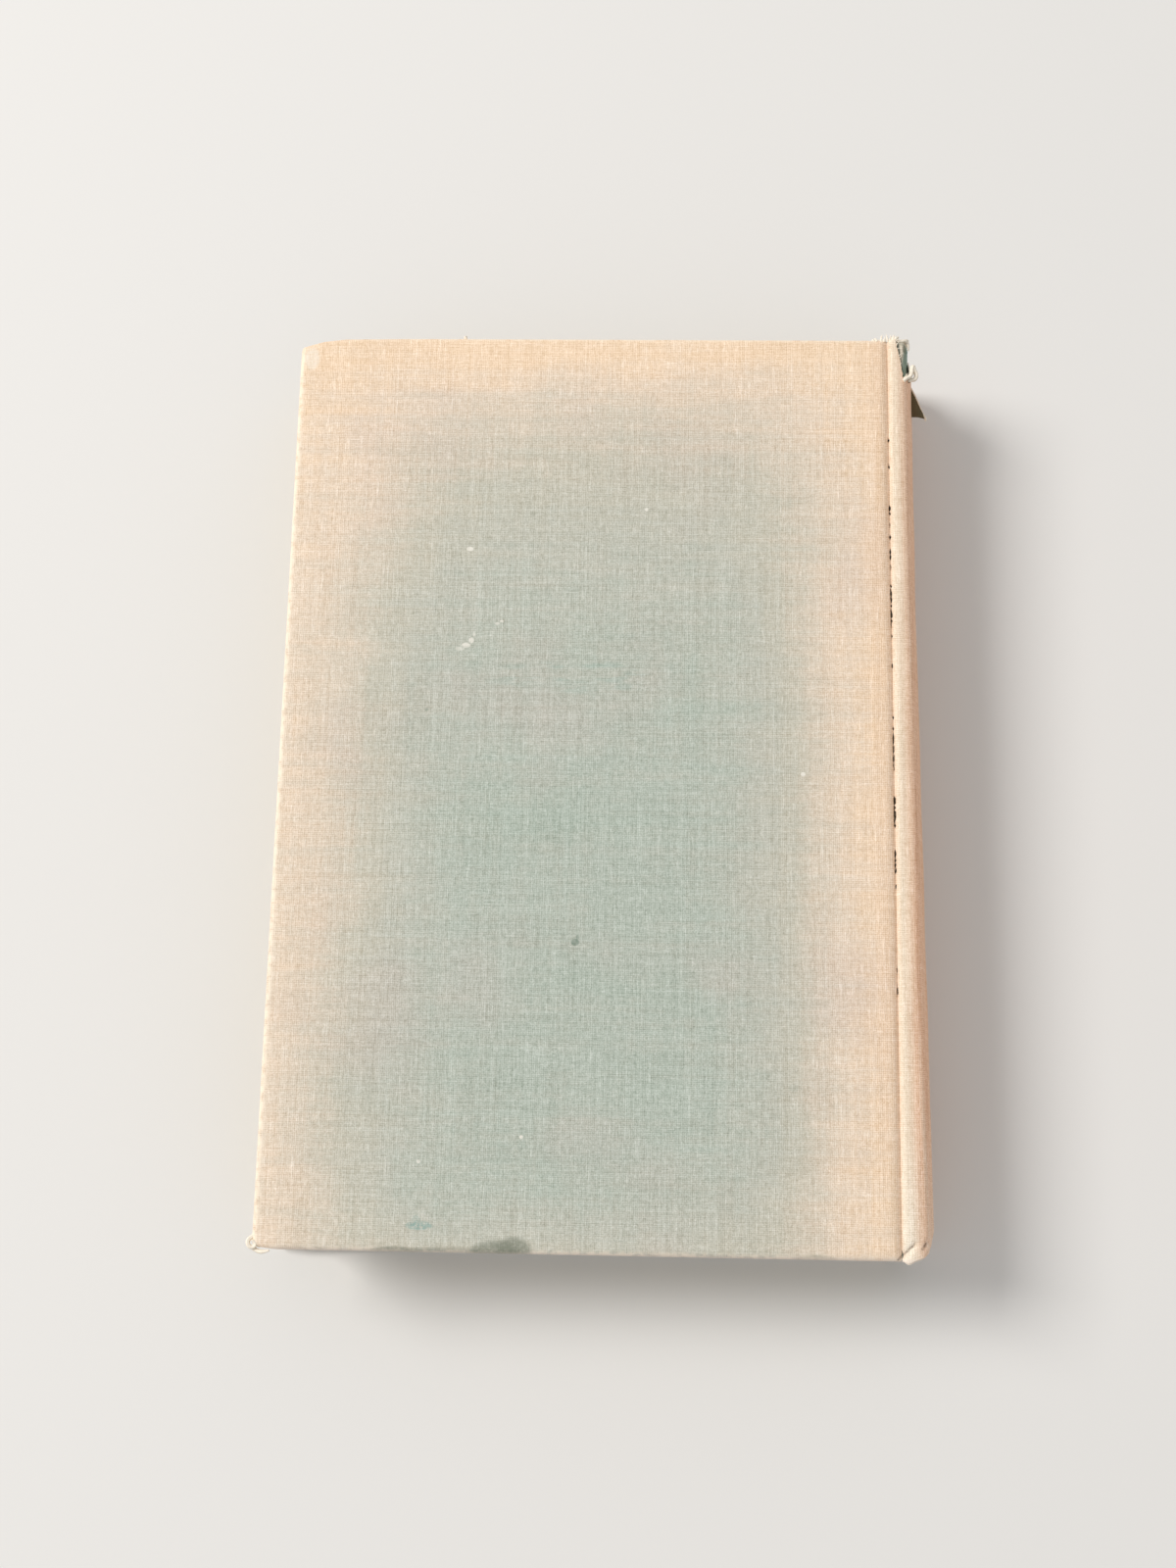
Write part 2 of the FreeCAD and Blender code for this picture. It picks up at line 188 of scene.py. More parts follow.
class Finish:
    # one material; a colour is a wire or three numbers as tone takes them
    def __init__(self, name):
        self.material = bpy.data.materials.new(name)
        self.material.use_nodes = True
        self.tree = self.material.node_tree
        place = self.add("TexCoord", {}, {}, "Object")
        self.place = self.add("VectorMath", {"operation": "SCALE"}, {0: place, "Scale": 1 / mm})
        self.x, self.y, self.z = (self.add("SeparateXYZ", {}, {0: self.place}, axis) for axis in "XYZ")

    def plug(self, node, sockets):
        for key, value in sockets.items():
            if isinstance(value, Wire):
                self.tree.links.new(value.socket, node.inputs[key])
            else:
                node.inputs[key].default_value = value

    def add(self, kind, settings, sockets, out=0):
        node = self.tree.nodes.new("ShaderNode" + kind)
        for key, value in settings.items():
            setattr(node, key, value)
        self.plug(node, sockets)
        return Wire(self, node.outputs[out])

    def grain(self, perX, perY, perZ, detail=2.0, rough=0.5, shift=0.0):
        # noise with so many grains to a millimetre along each axis
        spread = {"Vector": self.place, "Location": (shift, shift, shift), "Scale": (perX, perY, perZ)}
        sockets = {"Vector": self.add("Mapping", {}, spread), "Scale": 1.0, "Detail": detail, "Roughness": rough}
        return self.add("TexNoise", {}, sockets)

    def ribs(self, length, pitch):
        # 1 along each thread and 0 between two, with so many millimetres to a thread
        return abs((length / (pitch / math.pi)).sine())

    def mix(self, amount, first, second):
        first, second = (c if isinstance(c, Wire) else tone(*c) for c in (first, second))
        return self.add("Mix", {"data_type": "RGBA"}, {0: amount, 6: first, 7: second}, 2)

    def washed(self, colour, *washes):
        # lays further colours over a colour, each by its share
        for amount, ink in washes:
            colour = self.mix(amount, colour, ink)
        return colour

    def lit(self, colour, value, depth=1.0):
        return self.add("HueSaturation", {}, {"Color": colour, "Value": value, "Saturation": depth})

    def ramp(self, value, stops):
        wire = self.add("ValToRGB", {}, {0: value})
        elements = wire.socket.node.color_ramp.elements
        for number, (place, colour) in enumerate(stops):
            stop = elements[number] if number < 2 else elements.new(place)
            stop.position, stop.color = place, tone(*colour)
        return wire

    def spot(self, x, y, wide, tall):
        # 1 in the middle of a soft-edged spot, 0 outside it, on every level
        across, along = (self.x - x) / wide, (self.y - y) / tall
        return (across * across + along * along).rise(1.0, 0.35)

    def stroke(self, start, end, wide):
        # 1 along a short straight line with soft ends, 0 away from it, on every level
        length = math.dist(start, end)
        wayX, wayY = (end[0] - start[0]) / length, (end[1] - start[1]) / length
        alongX, alongY = self.x - start[0], self.y - start[1]
        run = (alongX * wayX + alongY * wayY).larger(0.0).smaller(length)
        awayX, awayY = alongX - run * wayX, alongY - run * wayY
        return (awayX * awayX + awayY * awayY).rise(wide * wide, 0.0)

    def bump(self, height, depth, strength, under=None):
        sockets = {"Height": height, "Distance": depth * mm, "Strength": strength}
        if under:
            sockets["Normal"] = under
        return self.add("Bump", {}, sockets)

    def wear(self, colour, rough, normal, gloss):
        sockets = {"Base Color": colour, "Roughness": rough, "Normal": normal, "Specular IOR Level": gloss}
        self.plug(self.tree.nodes["Principled BSDF"], sockets)
        return self.material


cloth = {
    "threads": 0.43,
    # dye lost at each edge, how far in that reaches in mm, and 2 for a plateau at the edge; at the fore edge and the
    # head the paler tan is partly fading and partly painted warm light from the upper left
    "foreFade": (0.74, 17.4, 2),
    "jointFade": (0.93, 15.9, 2),
    "headFade": (1.14, 29.0, 1),
    "tailFade": (0.29, 10.0, 1),
    "wobble": 15.0,
    # faded dye, from the tan borders to the green middle
    "fading": (
        (0.0, (244, 218, 190)), (0.22, (234, 215, 194)), (0.45, (218, 207, 190)),
        (0.62, (204, 200, 185)), (0.82, (195, 196, 184)), (1.0, (183, 192, 181)),
    ),
    "unfaded": (102, 142, 130),
    # the spine's side: partly its sun-browned tone, partly painted warm reflected light
    "spineSide": (247, 202, 170),
    "spineTop": (241, 223, 200),
    # noise on the flat cloth, used as what lies over and under its mean: what grain takes
    "sways": {
        "drift": (0.022, 0.022, 0.022),
        "smallDrift": (0.05, 0.05, 0.05, 3.0, 0.5, 31.0),
        # single warp and weft threads, and bands of them, that took or kept more dye
        "warp": (2.4, 0.035, 0.3, 1.0),
        "weft": (0.03, 2.4, 0.3, 1.0, 0.5, 7.0),
        "warpBand": (0.5, 0.012, 0.1, 3.0, 0.5, 13.0),
        "weftBand": (0.01, 0.42, 0.1, 3.0, 0.5, 17.0),
        "mottle": (0.7, 0.7, 0.7, 4.0, 0.7),
        "speckle": (2.7, 2.7, 2.7, 2.0, 0.75, 5.0),
        "patchX": (0.22, 0.05, 0.1, 3.0, 0.6, 27.0),
        "patchY": (0.045, 0.24, 0.1, 3.0, 0.6, 29.0),
        "bend": (0.35, 0.35, 0.35, 2.0, 0.5, 3.0),
        "nubs": (1.25, 1.25, 1.25, 2.0, 0.6, 73.0),
        "shortWarp": (2.2, 0.5, 0.5, 2.0, 0.5, 79.0),
        "shortWeft": (0.5, 2.2, 0.5, 2.0, 0.5, 89.0),
    },
    # share of each in the streaks of the dye, and in how light a thread is
    "streaks": {
        "warpBand": 0.2, "weftBand": 0.3, "mottle": 0.2, "warp": 0.08, "weft": 0.08, "patchX": 0.26, "patchY": 0.46,
    },
    "uneven": {
        "warp": 0.45, "weft": 0.34, "speckle": 1.1, "shortWarp": 0.65, "shortWeft": 0.5, "nubs": 0.15,
        "warpBand": 0.14, "weftBand": 0.1, "mottle": 0.1,
    },
    # patches: what grain takes, and the noise where they begin and where they are full
    "patches": {
        "warpSlub": ((1.6, 0.2, 0.3, 2.0, 0.5, 19.0), 0.57, 0.72),
        "weftSlub": ((0.18, 1.7, 0.3, 2.0, 0.5, 23.0), 0.58, 0.73),
        "pool": ((0.016, 0.055, 0.02, 2.0, 0.5, 41.0), 0.5, 0.72),
        "smudge": ((0.12, 0.5, 0.2, 3.0, 0.5, 47.0), 0.5, 0.66),
        "rosy": ((0.03, 0.03, 0.03, 2.0, 0.5, 53.0), 0.5, 0.75),
        "grime": ((0.9, 0.05, 0.2, 3.0, 0.6, 57.0), 0.42, 0.72),
        "rubbed": ((0.75, 0.022, 0.3, 3.0, 0.6, 63.0), 0.48, 0.68),
        "rim": ((0.5, 0.5, 0.5, 3.0, 0.5, 61.0), 0.35, 0.6),
        "ragged": ((1.3, 1.3, 1.3, 3.0, 0.7, 71.0), 0.3, 0.62),
        "unlit": ((0.5, 0.5, 0.5, 3.0, 0.5, 37.0), 0.45, 0.7),
    },
    "ripple": (0.35, 0.012, 0.1, 2.0, 0.5, 83.0),
    # marks: x, y, half width, half height in mm, share of the mark's colour
    "flecks": (
        (9.4, 62.2, 0.5, 0.5, 0.8), (-31.0, 52.3, 0.9, 0.7, 0.9), (-32.6, 28.4, 1.3, 0.5, 0.5),
        (-31.2, 29.2, 1.2, 0.7, 0.85), (-30.0, 30.4, 0.7, 0.8, 0.8), (-29.4, 31.8, 0.4, 0.6, 0.5),
        (-24.2, 34.4, 0.7, 0.35, 0.6), (-23.2, 35.0, 0.5, 0.35, 0.8), (45.0, 0.0, 0.6, 0.6, 1.0),
        (-15.7, -80.6, 0.5, 0.5, 0.9), (-37.6, -86.1, 0.5, 0.5, 0.7), (-69.9, 99.4, 2.2, 3.4, 0.5),
    ),
    "darkSpots": (
        (-5.0, -38.4, 1.1, 0.9, 0.7), (-4.5, -37.4, 0.4, 0.9, 0.4), (-39.6, 14.0, 0.5, 0.5, 0.35),
        (11.0, 26.5, 0.5, 0.5, 0.3), (42.6, -69.2, 1.3, 1.0, 0.2),
    ),
    "tealStains": ((-36.9, -99.5, 3.4, 1.1, 0.7), (-37.6, -98.6, 1.1, 1.6, 0.35)),
    "tailStains": (
        (-20.6, -105.2, 6.6, 3.4, 0.8), (-16.8, -105.0, 4.8, 4.1, 0.85), (-31.0, -105.2, 13.0, 1.6, 0.55),
        (-42.0, -105.2, 7.0, 1.6, 0.7), (47.5, -105.2, 5.0, 1.5, 0.35),
    ),
    # painted shade along the creases of the crushed tail: two ends as distance past the joint line and y, and width, in
    # mm
    "creases": (((-0.5, -104.6), (2.9, -101.4), 0.36), ((4.7, -102.4), (5.5, -101.2), 0.4)),
}


def makeClothFinish():
    f = Finish("fadedBookCloth")
    f.place = f.add("Attribute", {"attribute_name": "sheet"}, {}, "Vector")
    runX, runY, turned = (f.add("SeparateXYZ", {}, {0: f.place}, axis) for axis in "XYZ")
    sway = {name: f.grain(*numbers) - 0.5 for name, numbers in cloth["sways"].items()}
    patch = {name: f.grain(*numbers).rise(*ends) for name, (numbers, *ends) in cloth["patches"].items()}
    streak, uneven = (sum(sway[name] * share for name, share in cloth[use].items()) for use in ("streaks", "uneven"))
    drift, smallDrift = sway["drift"] * cloth["wobble"], sway["smallDrift"] * cloth["wobble"] * 0.6
    fromFore, fromJoint, fromHead, fromTail = f.x - foreMm, jointMm - f.x, headMm - f.y, f.y + headMm

    def kept(distance, share, reach, power):
        # share of the dye that is left at a distance from an edge
        away = distance.larger(0.0) / reach
        lost = (away * away * 0.5 if power == 2 else away).decay()
        return (1 - lost * share).larger(0.0)

    # towards the fore edge and the head the loss of dye is partly painted warm light
    green = kept(fromFore + drift + smallDrift - f.y * 0.03, *cloth["foreFade"])
    green = green * kept(fromJoint - drift + smallDrift, *cloth["jointFade"])
    green = green * kept(fromHead + drift - smallDrift, *cloth["headFade"])
    green = green * kept(fromTail + smallDrift, *cloth["tailFade"])
    dye = (green + streak * (0.85 - green * 0.35)).larger(0.0).smaller(1.0)

    # plain weave: threads pass over and under each other in turn
    across = ((runX + sway["bend"] * 0.5) / (cloth["threads"] / math.pi)).sine()
    along = ((runY + sway["bend"] * 0.4) / (cloth["threads"] / math.pi)).sine()
    over = (across * along).rise(-0.5, 0.5)
    weave = abs(across) * over + abs(along) * (1 - over)
    crown = weave.rise(0.25, 0.95)
    light = uneven * (green * 0.35 + 0.47) + crown * 0.18 + 0.872
    light = light + patch["warpSlub"] * 0.11 + patch["weftSlub"] * 0.08
    colour = f.washed(
        f.ramp(dye, cloth["fading"]),
        (patch["pool"] * green.rise(0.55, 1.0) * 0.2, (168, 188, 175)),
        (f.spot(-5, 22, 26, 4.5) * patch["smudge"] * 0.4, (156, 182, 172)),
        (patch["rosy"] * 0.22, (208, 189, 180)),
        # paler and warmer towards the head: partly fading, partly painted warm light
        (fromHead.rise(14.0, 3.0) * 0.25, (250, 222, 190)),
        (fromJoint.rise(7.0, 1.0) * (fromTail.rise(5.0, 45.0) * 0.35 + 0.15), (246, 215, 186)),
    )
    colour = f.lit(colour, light, 2 - light)

    # spine strip, browner and warmer towards the shelf side, partly its own sun-browned tone and partly painted warm
    # light reflected onto that side, with brown streaks that grow down the side, and pale where the shoulder is rubbed
    pastJoint = f.x - jointMm
    # share of the side colour, which is partly painted warm reflected light
    side = pastJoint.rise(1.6, 5.6)
    spineColour = f.washed(
        f.mix(side, cloth["spineTop"], cloth["spineSide"]),
        (patch["grime"] * (side * 0.3 + 0.12), (206, 156, 124)),
        (patch["rubbed"] * 0.4, (250, 228, 204)),
        (fromTail.rise(34.0, 2.0) * (0.6 - side * 0.35), (250, 241, 224)),
    )
    colour = f.mix(pastJoint.rise(0.2, 0.8), colour, f.lit(spineColour, light, 2 - light))

    # painted shade in the groove, pale rim that is partly rubbed and partly a painted highlight, and grey tail edge
    groove = f.spot(jointMm + 0.2, 0, 1.5, 4000.0) * abs(f.z - middleMm).rise(14.45, 13.6)
    rim = fromFore.rise(2.2, 0.6).larger(fromHead.rise(1.4, 0.2)).larger(fromTail.rise(1.4, 0.2))
    colour = f.washed(
        colour,
        # painted shade in the groove
        (groove * 0.2, (214, 172, 148)),
        # pale rim: partly rubbed wear, partly a painted highlight along the rounded fore edge
        (rim * patch["rim"] * 0.7, (250, 236, 216)),
        (fromTail.rise(0.9, -0.1) * 0.5, (232, 216, 206)),
    )

    # marks on the back cover only
    upper = f.z.rise(middleMm + 9, middleMm + 12)
    ragged = patch["ragged"]
    aboveEdge = fromTail.rise(-0.1, 0.7) * 0.6 + 0.4
    for marks, ink, edge in (
        ("darkSpots", (104, 126, 112), ragged * 0.5 + 0.5),
        ("tealStains", (128, 166, 160), ragged),
        ("tailStains", (132, 136, 122), (ragged * 0.4 + 0.6) * aboveEdge),
        ("flecks", (244, 240, 230), ragged * 0.5 + 0.5),
    ):
        for *spot, share in cloth[marks]:
            colour = f.mix(f.spot(*spot) * edge * upper * share, colour, ink)
    # painted shade along the creases of the crushed tail
    for start, end, wide in cloth["creases"]:
        start, end = ((jointMm + past, y) for past, y in (start, end))
        colour = f.mix(f.stroke(start, end, wide) * upper * ragged * 0.7, colour, (122, 98, 78))

    # the side turned in was never in the light, and the tongue that the tear bares is rubbed
    # pale along its joint side and its fold, with a painted shadow where the torn edge lies over it
    # and a patch of painted shade near its head
    bared = upper * pastJoint.rise(1.2, 1.6) * f.y.rise(93.0, 94.0)
    pale = (pastJoint - (f.y - 98.0) * 0.17).rise(4.0, 3.2).larger(f.y.rise(103.6, 104.6))
    tornEdgeShadow = pastJoint - 2.2 - (105.45 - f.y) * 0.137
    unlit = f.washed(
        cloth["unfaded"],
        (patch["unlit"] * 0.35, (150, 172, 156)),
        (bared, (140, 156, 140)),
        (bared * pale * (ragged * 0.3 + 0.6), (240, 226, 206)),
        # painted shade on the tongue near its head
        (f.spot(jointMm + 4.5, 102.9, 0.7, 1.2) * bared * 0.5, (84, 86, 60)),
        # painted shadow that the torn edge casts on the tongue
        (tornEdgeShadow.rise(0.9, 0.45) * bared * 0.75, (50, 76, 64)),
    )
    colour = f.mix(turned, colour, f.lit(unlit, light, 2 - light))

    nap = weave * 0.62 + patch["warpSlub"] * 0.5 + patch["weftSlub"] * 0.5 + sway["speckle"] * 0.5
    ripple = f.grain(*cloth["ripple"]) * fromJoint.rise(20.0, 3.0)
    rough = 0.84 - crown * 0.08 + sway["mottle"] * 0.1
    return f.wear(colour, rough, f.bump(nap, 0.055, 0.9, f.bump(ripple, 0.25, 1.0)), 0.22)


def makePaperFinish(name, light, dark, edged):
    # edged paper shows the lines of its leaves
    f = Finish(name)
    fibres = f.grain(1.1, 1.1, 1.1, 5.0, 0.65)
    foxing = f.grain(0.3, 0.3, 0.3, 4.0, 0.7, 9.0).rise(0.62, 0.76)
    cloud = f.grain(0.03, 0.03, 0.03, 3.0, 0.6, 15.0)
    inset = (f.x - blockLow.x / mm).smaller(blockHigh.y / mm - abs(f.y))
    browned = inset.rise(22.0, 0.0) * (cloud * 0.5 + 0.2)
    colour = f.washed(f.mix(fibres * 0.6 + cloud * 0.4, dark, light), (browned, (196, 168, 122)))
    height = fibres
    if edged:
        leaves = f.grain(0.05, 0.05, 7.0, 2.0, 0.6, 2.0)
        groups = f.grain(0.02, 0.02, 0.9, 2.0, 0.5, 4.0)
        colour = f.lit(colour, leaves * 0.34 + groups * 0.2 + 0.72)
        height = fibres + leaves * 2.0
    return f.wear(f.mix(foxing * 0.4, colour, (186, 150, 104)), 0.88, f.bump(height, 0.03, 0.6), 0.15)


def makeCardFinish(name, light, dark, deep):
    f = Finish(name)
    pulp = f.grain(0.8, 0.8, 0.8, 6.0, 0.7)
    chips = f.grain(2.2, 0.7, 1.4, 3.0, 0.6, 6.0).rise(0.62, 0.7)
    colour = f.washed(f.mix(pulp.rise(0.3, 0.7), dark, light), (chips * 0.5, deep))
    return f.wear(colour, 0.92, f.bump(pulp + chips, 0.06, 0.7), 0.1)


def makeGauzeFinish():
    f = Finish("mullGauze")
    thread = f.ribs(f.y, 1.1).larger(f.ribs(f.x + f.z, 1.1)).rise(0.62, 0.92)
    colour = f.mix(thread, (176, 158, 122), (222, 212, 186))
    return f.wear(colour, 0.9, f.bump(thread, 0.12, 0.8), 0.1)


def makeBandFinish():
    f = Finish("bandCotton")
    twist = f.ribs(f.y * 0.6 + f.z + f.x * 0.4, 0.22)
    fuzz = f.grain(3.0, 3.0, 3.0, 3.0)
    colour = f.mix(twist * 0.6 + fuzz * 0.4, (196, 184, 152), (232, 224, 202))
    return f.wear(colour, 0.86, f.bump(twist + fuzz, 0.04, 0.7), 0.15)


def makeThreadFinish():
    f = Finish("frayedThread")
    fuzz = f.grain(3.5, 3.5, 3.5, 3.0)
    stain = f.grain(0.35, 0.35, 0.35, 2.0, 0.5, 8.0).rise(0.56, 0.7)
    colour = f.washed(f.mix(fuzz, (238, 222, 200), (255, 250, 238)), (stain * 0.3, (188, 182, 160)))
    return f.wear(colour, 0.9, f.bump(fuzz, 0.03, 0.6), 0.1)


def makeScrapFinish():
    # the scraps in the tear: unfaded cloth darkened by painted shade, and near black by painted shade where they stand
    # high in the hollow spine
    f = Finish("unfadedScrap")
    net = f.ribs(f.y, cloth["threads"]) * 0.5 + f.ribs(f.x + f.z, cloth["threads"]) * 0.5
    # painted shade, near black, high in the hollow spine
    dark = f.z.rise(middleMm + 8, middleMm + 9) * 0.85
    colour = f.washed(f.mix(net, (76, 68, 48), (116, 102, 76)), (dark, (22, 22, 18)))
    return f.wear(colour, 0.88, f.bump(net, 0.05, 0.8), 0.15)


clothFinish = makeClothFinish()
pageFinish = makePaperFinish("leafEdges", (226, 211, 181), (204, 185, 152), edged=True)
endpaperFinish = makePaperFinish("endpaper", (232, 220, 194), (216, 200, 168), edged=False)
boardFinish = makeCardFinish("strawboard", (168, 156, 132), (140, 128, 104), (98, 84, 66))
cardFinish = makeCardFinish("spineCard", (176, 152, 118), (150, 126, 94), (110, 88, 62))
liningFinish = makeCardFinish("kraftLining", (164, 128, 88), (142, 108, 72), (116, 84, 54))
gauzeFinish = makeGauzeFinish()
bandFinish = makeBandFinish()
threadFinish = makeThreadFinish()
scrapFinish = makeScrapFinish()
print("book: finishes")


# Modelling helpers

def mode(kind):
    bpy.ops.object.mode_set(mode=kind)


def alone(piece):
    bpy.ops.object.select_all(action="DESELECT")
    piece.select_set(True)
    bpy.context.view_layer.objects.active = piece


def named(name, finish):
    piece = bpy.context.object
    piece.name = name
    piece.data.name = name
    piece.data.materials.clear()
    piece.data.materials.append(finish)
    return piece


def grid(name, finish, set_, place=(0, 0, 0)):
    # a level square of one metre with the columns and rows of a piece's dictionary
    bpy.ops.mesh.primitive_grid_add(
        x_subdivisions=set_["columns"], y_subdivisions=set_["rows"], size=1, location=place
    )
    return named(name, finish)


def pick(piece, part, test):
    # in edit mode, selects the edges or faces of the piece that the test likes
    mesh = bmesh.from_edit_mesh(piece.data)
    for item in (*mesh.faces, *mesh.edges, *mesh.verts):
        item.select = False
    for item in getattr(mesh, part):
        if test(item):
            item.select_set(True)
    mesh.select_flush_mode()
    bmesh.update_edit_mesh(piece.data)


def pull(x, y, z):
    bpy.ops.mesh.extrude_region_move(TRANSFORM_OT_translate={"value": (x, y, z)})


def settle(piece, smooth=40):
    # puts the piece's place in its mesh and shades its round stretches smooth
    alone(piece)
    bpy.ops.object.transform_apply(location=True, rotation=True, scale=True)
    bpy.ops.object.shade_smooth_by_angle(angle=math.radians(smooth))


def modify(piece, kind, **settings):
    modifier = piece.modifiers.new(kind.lower(), kind)
    for key, value in settings.items():
        setattr(modifier, key, value)
    alone(piece)
    bpy.ops.object.modifier_apply(modifier=modifier.name)


def thicken(piece, thick, side=-1):
    modify(piece, "SOLIDIFY", thickness=thick * mm, offset=side, use_even_offset=False)


def joined(name, parts, finish):
    bpy.ops.object.select_all(action="DESELECT")
    for part in parts:
        part.select_set(True)
    bpy.context.view_layer.objects.active = parts[0]
    bpy.ops.object.convert(target="MESH")
    bpy.ops.object.join()
    piece = named(name, finish)
    settle(piece, smooth=60)
    return piece


def smoothStep(low, high, value):
    share = min(max((value - low) / (high - low), 0), 1)
    return share * share * (3 - 2 * share)


def framePlace(spot):
    # from mm past the joint line, along y and over mid-thickness
    return Vector((jointX + spot[0] * mm, spot[1] * mm, middleZ + spot[2] * mm))


def laySheet(piece, places):
    # each point's place on the flat cloth in mm, and 1 where it is turned in, for the finish
    sheet = piece.data.attributes.new("sheet", "FLOAT_VECTOR", "POINT")
    for number, place in enumerate(places):
        sheet.data[number].vector = place


def turnedOver(piece):
    # from the back of the book to the front: half a turn about the length of X at mid-thickness
    alone(piece)
    mode("EDIT")
    bpy.ops.mesh.select_all(action="SELECT")
    bpy.ops.transform.rotate(value=math.pi, orient_axis="X", center_override=(0, 0, middleZ))
    mode("OBJECT")


# The two joints: where the cloth has cracked along the bottom of the groove

joint = {
    "seam": 0.35,
    "seamDrop": 0.8,
    "seamRise": 0.6,
    # cracks in the back joint: lowest y, highest y, width, all in mm
    "cracks": (
        (79.3, 79.9, 0.5), (73.0, 73.5, 0.42), (67.8, 68.2, 0.35), (61.3, 63.5, 0.5), (58.6, 59.1, 0.4),
        (55.9, 56.6, 0.5), (51.0, 53.0, 0.45), (48.6, 49.2, 0.4), (40.6, 44.5, 0.42), (34.6, 39.6, 0.5),
        (32.3, 32.8, 0.4), (25.2, 25.9, 0.35), (12.9, 13.5, 0.4), (10.8, 11.3, 0.4), (1.5, 9.8, 0.34),
        (-11.4, -5.0, 0.6), (-21.8, -17.0, 0.42), (-25.2, -24.6, 0.4), (-43.6, -43.0, 0.35), (-48.6, -46.9, 0.4),
    ),
    # the least width anywhere, and how much wider the cracks gape than when they lay flat
    "hairline": 0.04,
    "gape": 1.1,
}


def crackWidth(y):
    wide = joint["hairline"]
    for low, high, width in joint["cracks"]:
        ends = smoothStep(low - 0.45, low + 0.15, y / mm) * smoothStep(high + 0.45, high - 0.15, y / mm)
        ragged = smoothStep(-0.3, 0.15, noise.noise((0, y / mm * 1.9, 3.0)))
        wide = max(wide, width * joint["gape"] * ends * ragged)
    return wide * mm


# Covering cloth of a cover

coverCloth = {
    "columns": 26,
    "rows": 476,
    "edgeRound": 1.3,
    "innerRound": 0.5,
    "cornerRound": 1.9,
    "bumpedRound": 1.6,
    # the head corner at the fore edge was knocked in: a long shallow stretch, a deep one at the very
    # corner, and a drop, each as depth and reach in mm
    "bumpShallow": (0.25, 30),
    "bumpDeep": (1.6, 8.5),
    "bumpDown": (0.35, 6),
    # the front is cut from another part of the cloth, in mm
    "frontShift": 400.0,
    # size before it is folded, and side of the two squares cut off at the fore edge's corners, in metres
    "flat": (0.1554, 0.2447),
    "cornerCut": 0.0186,
    "turnIn": 15.0,
    # shares of the turn-in in its three strips
    "turnInShares": (0.1, 0.3, 0.6),
    "thick": 0.36,
    "roll": -2.6,
    "underPaste": 0.15,
    # how far round the edge the threads are counted on
    "edgeDeep": 3.1,
    # across the groove: distance from the joint line, outer drop and inner rise, in mm
    "groove": (
        (-1.7, 0.02, 0.0), (-1.2, 0.07, 0.0), (-0.8, 0.17, 0.1),
        (-0.45, 0.32, 0.25), (-0.15, 0.5, 0.4), (0.12, 0.66, 0.5),
    ),
    "wave": 0.22,
}


def bumpedCorner(point):
    fromFore = (point.x - foreX) / mm
    (shallow, wide), (deep, reach), (down, near) = (coverCloth["bump" + word] for word in ("Shallow", "Deep", "Down"))
    inward = shallow * smoothStep(wide, 4, fromFore) + deep * min(max(1 - fromFore / reach, 0), 1)
    point.y -= inward * smoothStep(headMm - 16, headMm - 1, point.y / mm) * mm
    point.z -= down * smoothStep(near, 0.5, fromFore) * smoothStep(headMm - 8, headMm - 2, point.y / mm) * mm


def roundCorners(mesh, radius, corners):
    # carries the square rings about each corner's centre onto round ones
    for vertex in mesh.vertices:
        for cornerX, sideX, cornerY, sideY in corners:
            outX = (vertex.co.x - cornerX) * sideX + radius
            outY = (vertex.co.y - cornerY) * sideY + radius
            if outX > 1e-9 and outY > 1e-9:
                shrink = max(outX, outY) / math.hypot(outX, outY)
                vertex.co.x = cornerX + (outX * shrink - radius) * sideX
                vertex.co.y = cornerY + (outY * shrink - radius) * sideY


